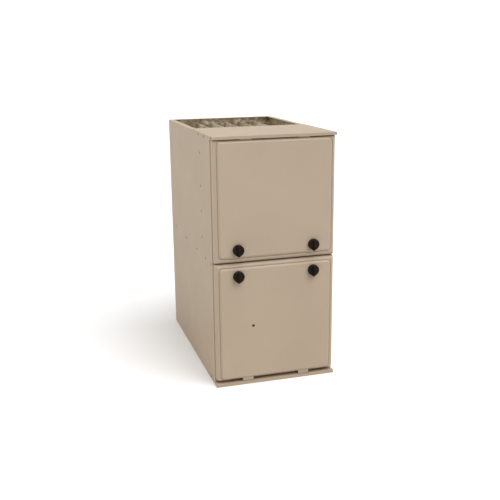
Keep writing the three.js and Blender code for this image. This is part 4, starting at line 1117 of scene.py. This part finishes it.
# Screws through the side sheets: (y, z) in millimetres. Three hold the top panel, four the
# cell panel's flange, five the blower shelf's and one the base rail.
SIDE_SCREWS = (
    [(-354, 884), (-251, 880), (-168, 880)]
    + [(-183, z) for z in (817, 699, 607, 513)]
    + [(y, 445) for y in (309, 99, -89, -230, -314)]
    + [(-274, 8)]
)


class FURNACE_OT_fasteners(bpy.types.Operator):
    """Presses the screw dimples into the side sheets and sets a screw head in each"""

    bl_idname = "furnace.fasteners"
    bl_label = "Side screws"

    def execute(self, context):
        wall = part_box("casing_shell")[1].x / MM
        depth = 1.0
        places = {"casing_shell": [], "top_panel": []}
        for y, z in SIDE_SCREWS:
            # Only the foremost screw goes through the top panel's side.
            node = "top_panel" if y < -340 else "casing_shell"
            for side in (-1, 1):
                places[node].append(((side * wall, y, z), (side, 0, 0)))
        for node, spots in places.items():
            cutter = bmesh.new()
            for point, direction in spots:
                lathe(
                    cutter, [(5.2, -depth), (6.6, 0.2), (6.6, 1.0)],
                    facing(point, direction), 20,
                )
            dimple(node, cutter)
            heads = bmesh.new()
            for point, direction in spots:
                lathe(
                    heads,
                    [(1.0, -depth - 0.1), (5.0, -depth - 0.1), (5.0, -depth + 0.1),
                     (4.5, -0.25), (3.9, -0.04), (2.2, -0.04), (1.5, -0.3)],
                    facing(point, direction), 18,
                )
            # The heads' dark brown-grey zinc is painted shade.
            object_of(f"{node}_screws", heads, "dulled_zinc", "cabinet", 40)
        return {"FINISHED"}


def dimple(node, cutter):
    """Replaces a CAD node by its own mesh with the cutter's shapes taken out."""
    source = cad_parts[node]
    tool_mesh = bpy.data.meshes.new("press_tool")
    bmesh.ops.recalc_face_normals(cutter, faces=cutter.faces)
    cutter.to_mesh(tool_mesh)
    cutter.free()
    tool = bpy.data.objects.new("press_tool", tool_mesh)
    bpy.context.scene.collection.objects.link(tool)
    blank = bpy.data.objects.new("blank", source.data.copy())
    bpy.context.scene.collection.objects.link(blank)
    press = blank.modifiers.new("press", "BOOLEAN")
    press.operation = "DIFFERENCE"
    press.solver = "EXACT"
    press.object = tool
    bpy.context.view_layer.update()
    graph = bpy.context.evaluated_depsgraph_get()
    mesh = bpy.data.meshes.new_from_object(blank.evaluated_get(graph))
    for spare in (blank, tool):
        bpy.data.objects.remove(spare)
    mesh.name = f"{node}_sheet"
    mesh.materials.clear()
    mesh.materials.append(use("casing_baked_enamel"))
    made = bpy.data.objects.new(f"{node}_sheet", mesh)
    bpy.context.scene.collection.objects.link(made)
    edge = made.modifiers.new("bend_radius", "BEVEL")
    edge.width = sizes().bend_radius * 0.45
    edge.segments = 2
    edge.limit_method = "ANGLE"
    edge.angle_limit = math.radians(60)
    mesh.shade_smooth()
    mesh.set_sharp_from_angle(angle=math.radians(25))
    flat = made.modifiers.new("flat", "WEIGHTED_NORMAL")
    flat.keep_sharp = True
    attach(made, "cabinet")
    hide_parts(node)


# ---------------------------------------------------------------- studio


class FURNACE_OT_stage(bpy.types.Operator):
    """Sets the pale floor, the soft lights and the camera"""

    bl_idname = "furnace.stage"
    bl_label = "Studio"

    def execute(self, context):
        scene = context.scene
        scene.view_settings.view_transform = "Standard"
        self.floor(scene)
        self.sky(scene)
        for name, strength, spread, towards in (
            ("key", sizes().key_light, 60, (-0.40, 0.60, -1.30)),
            ("fill", 1.45, 60, (0.88, -0.44, -0.33)),
        ):
            lamp = bpy.data.lights.new(name, "SUN")
            lamp.energy = strength
            lamp.angle = math.radians(spread)
            light = bpy.data.objects.new(name, lamp)
            light.rotation_mode = "QUATERNION"
            light.rotation_quaternion = Vector(towards).to_track_quat("-Z", "Y")
            scene.collection.objects.link(light)
        self.camera(scene)
        return {"FINISHED"}

    def floor(self, scene):
        """A floor curved up into a backdrop, well behind the furnace."""
        build = bmesh.new()
        profile = [(-9.0, 0.0), (5.0, 0.0)]
        for i in range(1, 13):
            turn = math.pi / 2 * i / 12
            profile.append((5.0 + 3.0 * math.sin(turn), 3.0 - 3.0 * math.cos(turn)))
        profile.append((8.0, 12.0))
        rows = [
            [build.verts.new((x, y, z - 0.0005)) for y, z in profile] for x in (-14.0, 14.0)
        ]
        for i in range(len(profile) - 1):
            build.faces.new((rows[0][i], rows[1][i], rows[1][i + 1], rows[0][i + 1]))
        mesh = bpy.data.meshes.new("studio_floor")
        build.to_mesh(mesh)
        build.free()
        mesh.shade_smooth()
        made, tree, surface = new_material("studio_paper", Roughness=0.9)
        seen = add(tree, "ShaderNodeLightPath").outputs["Is Camera Ray"]
        paper = add(
            tree,
            "ShaderNodeMix",
            {6: (0.72, 0.71, 0.69, 1.0), 7: tuple(colours().floor)},
            {0: seen},
            data_type="RGBA",
        )
        tree.links.new(paper.outputs[2], surface.inputs["Base Color"])
        mesh.materials.append(made)
        floor = bpy.data.objects.new("studio_floor", mesh)
        scene.collection.objects.link(floor)

    def sky(self, scene):
        """Plain light all round, and white where the camera or a reflection sees past."""
        world = bpy.data.worlds.new("studio")
        scene.world = world
        world.use_nodes = True
        tree = world.node_tree
        tree.nodes.clear()
        path = add(tree, "ShaderNodeLightPath")
        seen = add(
            tree,
            "ShaderNodeMath",
            links={0: path.outputs["Is Camera Ray"], 1: path.outputs["Is Glossy Ray"]},
            operation="MAXIMUM",
        )
        seen = add(
            tree,
            "ShaderNodeMath",
            links={0: seen.outputs[0], 1: path.outputs["Is Transmission Ray"]},
            operation="MAXIMUM",
        )
        strength = add(
            tree,
            "ShaderNodeMapRange",
            {"To Min": 0.3, "To Max": 1.0},
            {"Value": seen.outputs[0]},
        )
        light = add(
            tree,
            "ShaderNodeBackground",
            {"Color": (1.0, 1.0, 1.0, 1.0)},
            {"Strength": strength.outputs[0]},
        )
        add(tree, "ShaderNodeOutputWorld", links={"Surface": light.outputs[0]})

    def camera(self, scene):
        """Where the photograph was taken from, solved from the furnace's corners."""
        lens = bpy.data.cameras.new("camera")
        lens.sensor_width = 36.0
        lens.lens = 54.8
        lens.clip_start = 0.1
        lens.clip_end = 60.0
        eye = bpy.data.objects.new("camera", lens)
        azimuth, elevation, roll = (math.radians(a) for a in (-16.39, 14.61, -0.64))
        back = Vector(
            (
                math.sin(azimuth) * math.cos(elevation),
                -math.cos(azimuth) * math.cos(elevation),
                math.sin(elevation),
            )
        )
        eye.rotation_mode = "QUATERNION"
        level = (-back).to_track_quat("-Z", "Y").to_matrix()
        eye.rotation_quaternion = (level @ Matrix.Rotation(roll, 3, "Z")).to_quaternion()
        eye.location = (-0.8110, -2.79905, 1.15887)
        scene.collection.objects.link(eye)
        scene.camera = eye


# ---------------------------------------------------------------- panel and registration


STEPS = (
    FURNACE_OT_casing,
    FURNACE_OT_doors,
    FURNACE_OT_knobs,
    FURNACE_OT_exchanger,
    FURNACE_OT_burners,
    FURNACE_OT_inducer,
    FURNACE_OT_blower,
    FURNACE_OT_controls,
    FURNACE_OT_fasteners,
    FURNACE_OT_stage,
)


class FURNACE_PT_panel(bpy.types.Panel):
    """Lists the furnace's sizes, colours and steps"""

    bl_idname = "FURNACE_PT_panel"
    bl_label = "Furnace"
    bl_space_type = "VIEW_3D"
    bl_region_type = "UI"
    bl_category = "Furnace"

    def draw(self, context):
        for group in (context.scene.furnace_sizes, context.scene.furnace_colours):
            box = self.layout.box()
            for key in group.__annotations__:
                box.prop(group, key)
        for step in STEPS:
            self.layout.operator(step.bl_idname)


CLASSES = (FurnaceSizes, FurnaceColours, *STEPS, FURNACE_PT_panel)


def register():
    for kind in CLASSES:
        bpy.utils.register_class(kind)
    bpy.types.Scene.furnace_sizes = bpy.props.PointerProperty(type=FurnaceSizes)
    bpy.types.Scene.furnace_colours = bpy.props.PointerProperty(type=FurnaceColours)


def unregister():
    del bpy.types.Scene.furnace_colours
    del bpy.types.Scene.furnace_sizes
    for kind in reversed(CLASSES):
        bpy.utils.unregister_class(kind)


def main():
    register()
    for step in STEPS:
        group, name = step.bl_idname.split(".")
        done = getattr(getattr(bpy.ops, group), name)()
        if "FINISHED" not in done:
            raise RuntimeError(f"{step.bl_idname} did not finish")


if __name__ == "__main__":
    main()
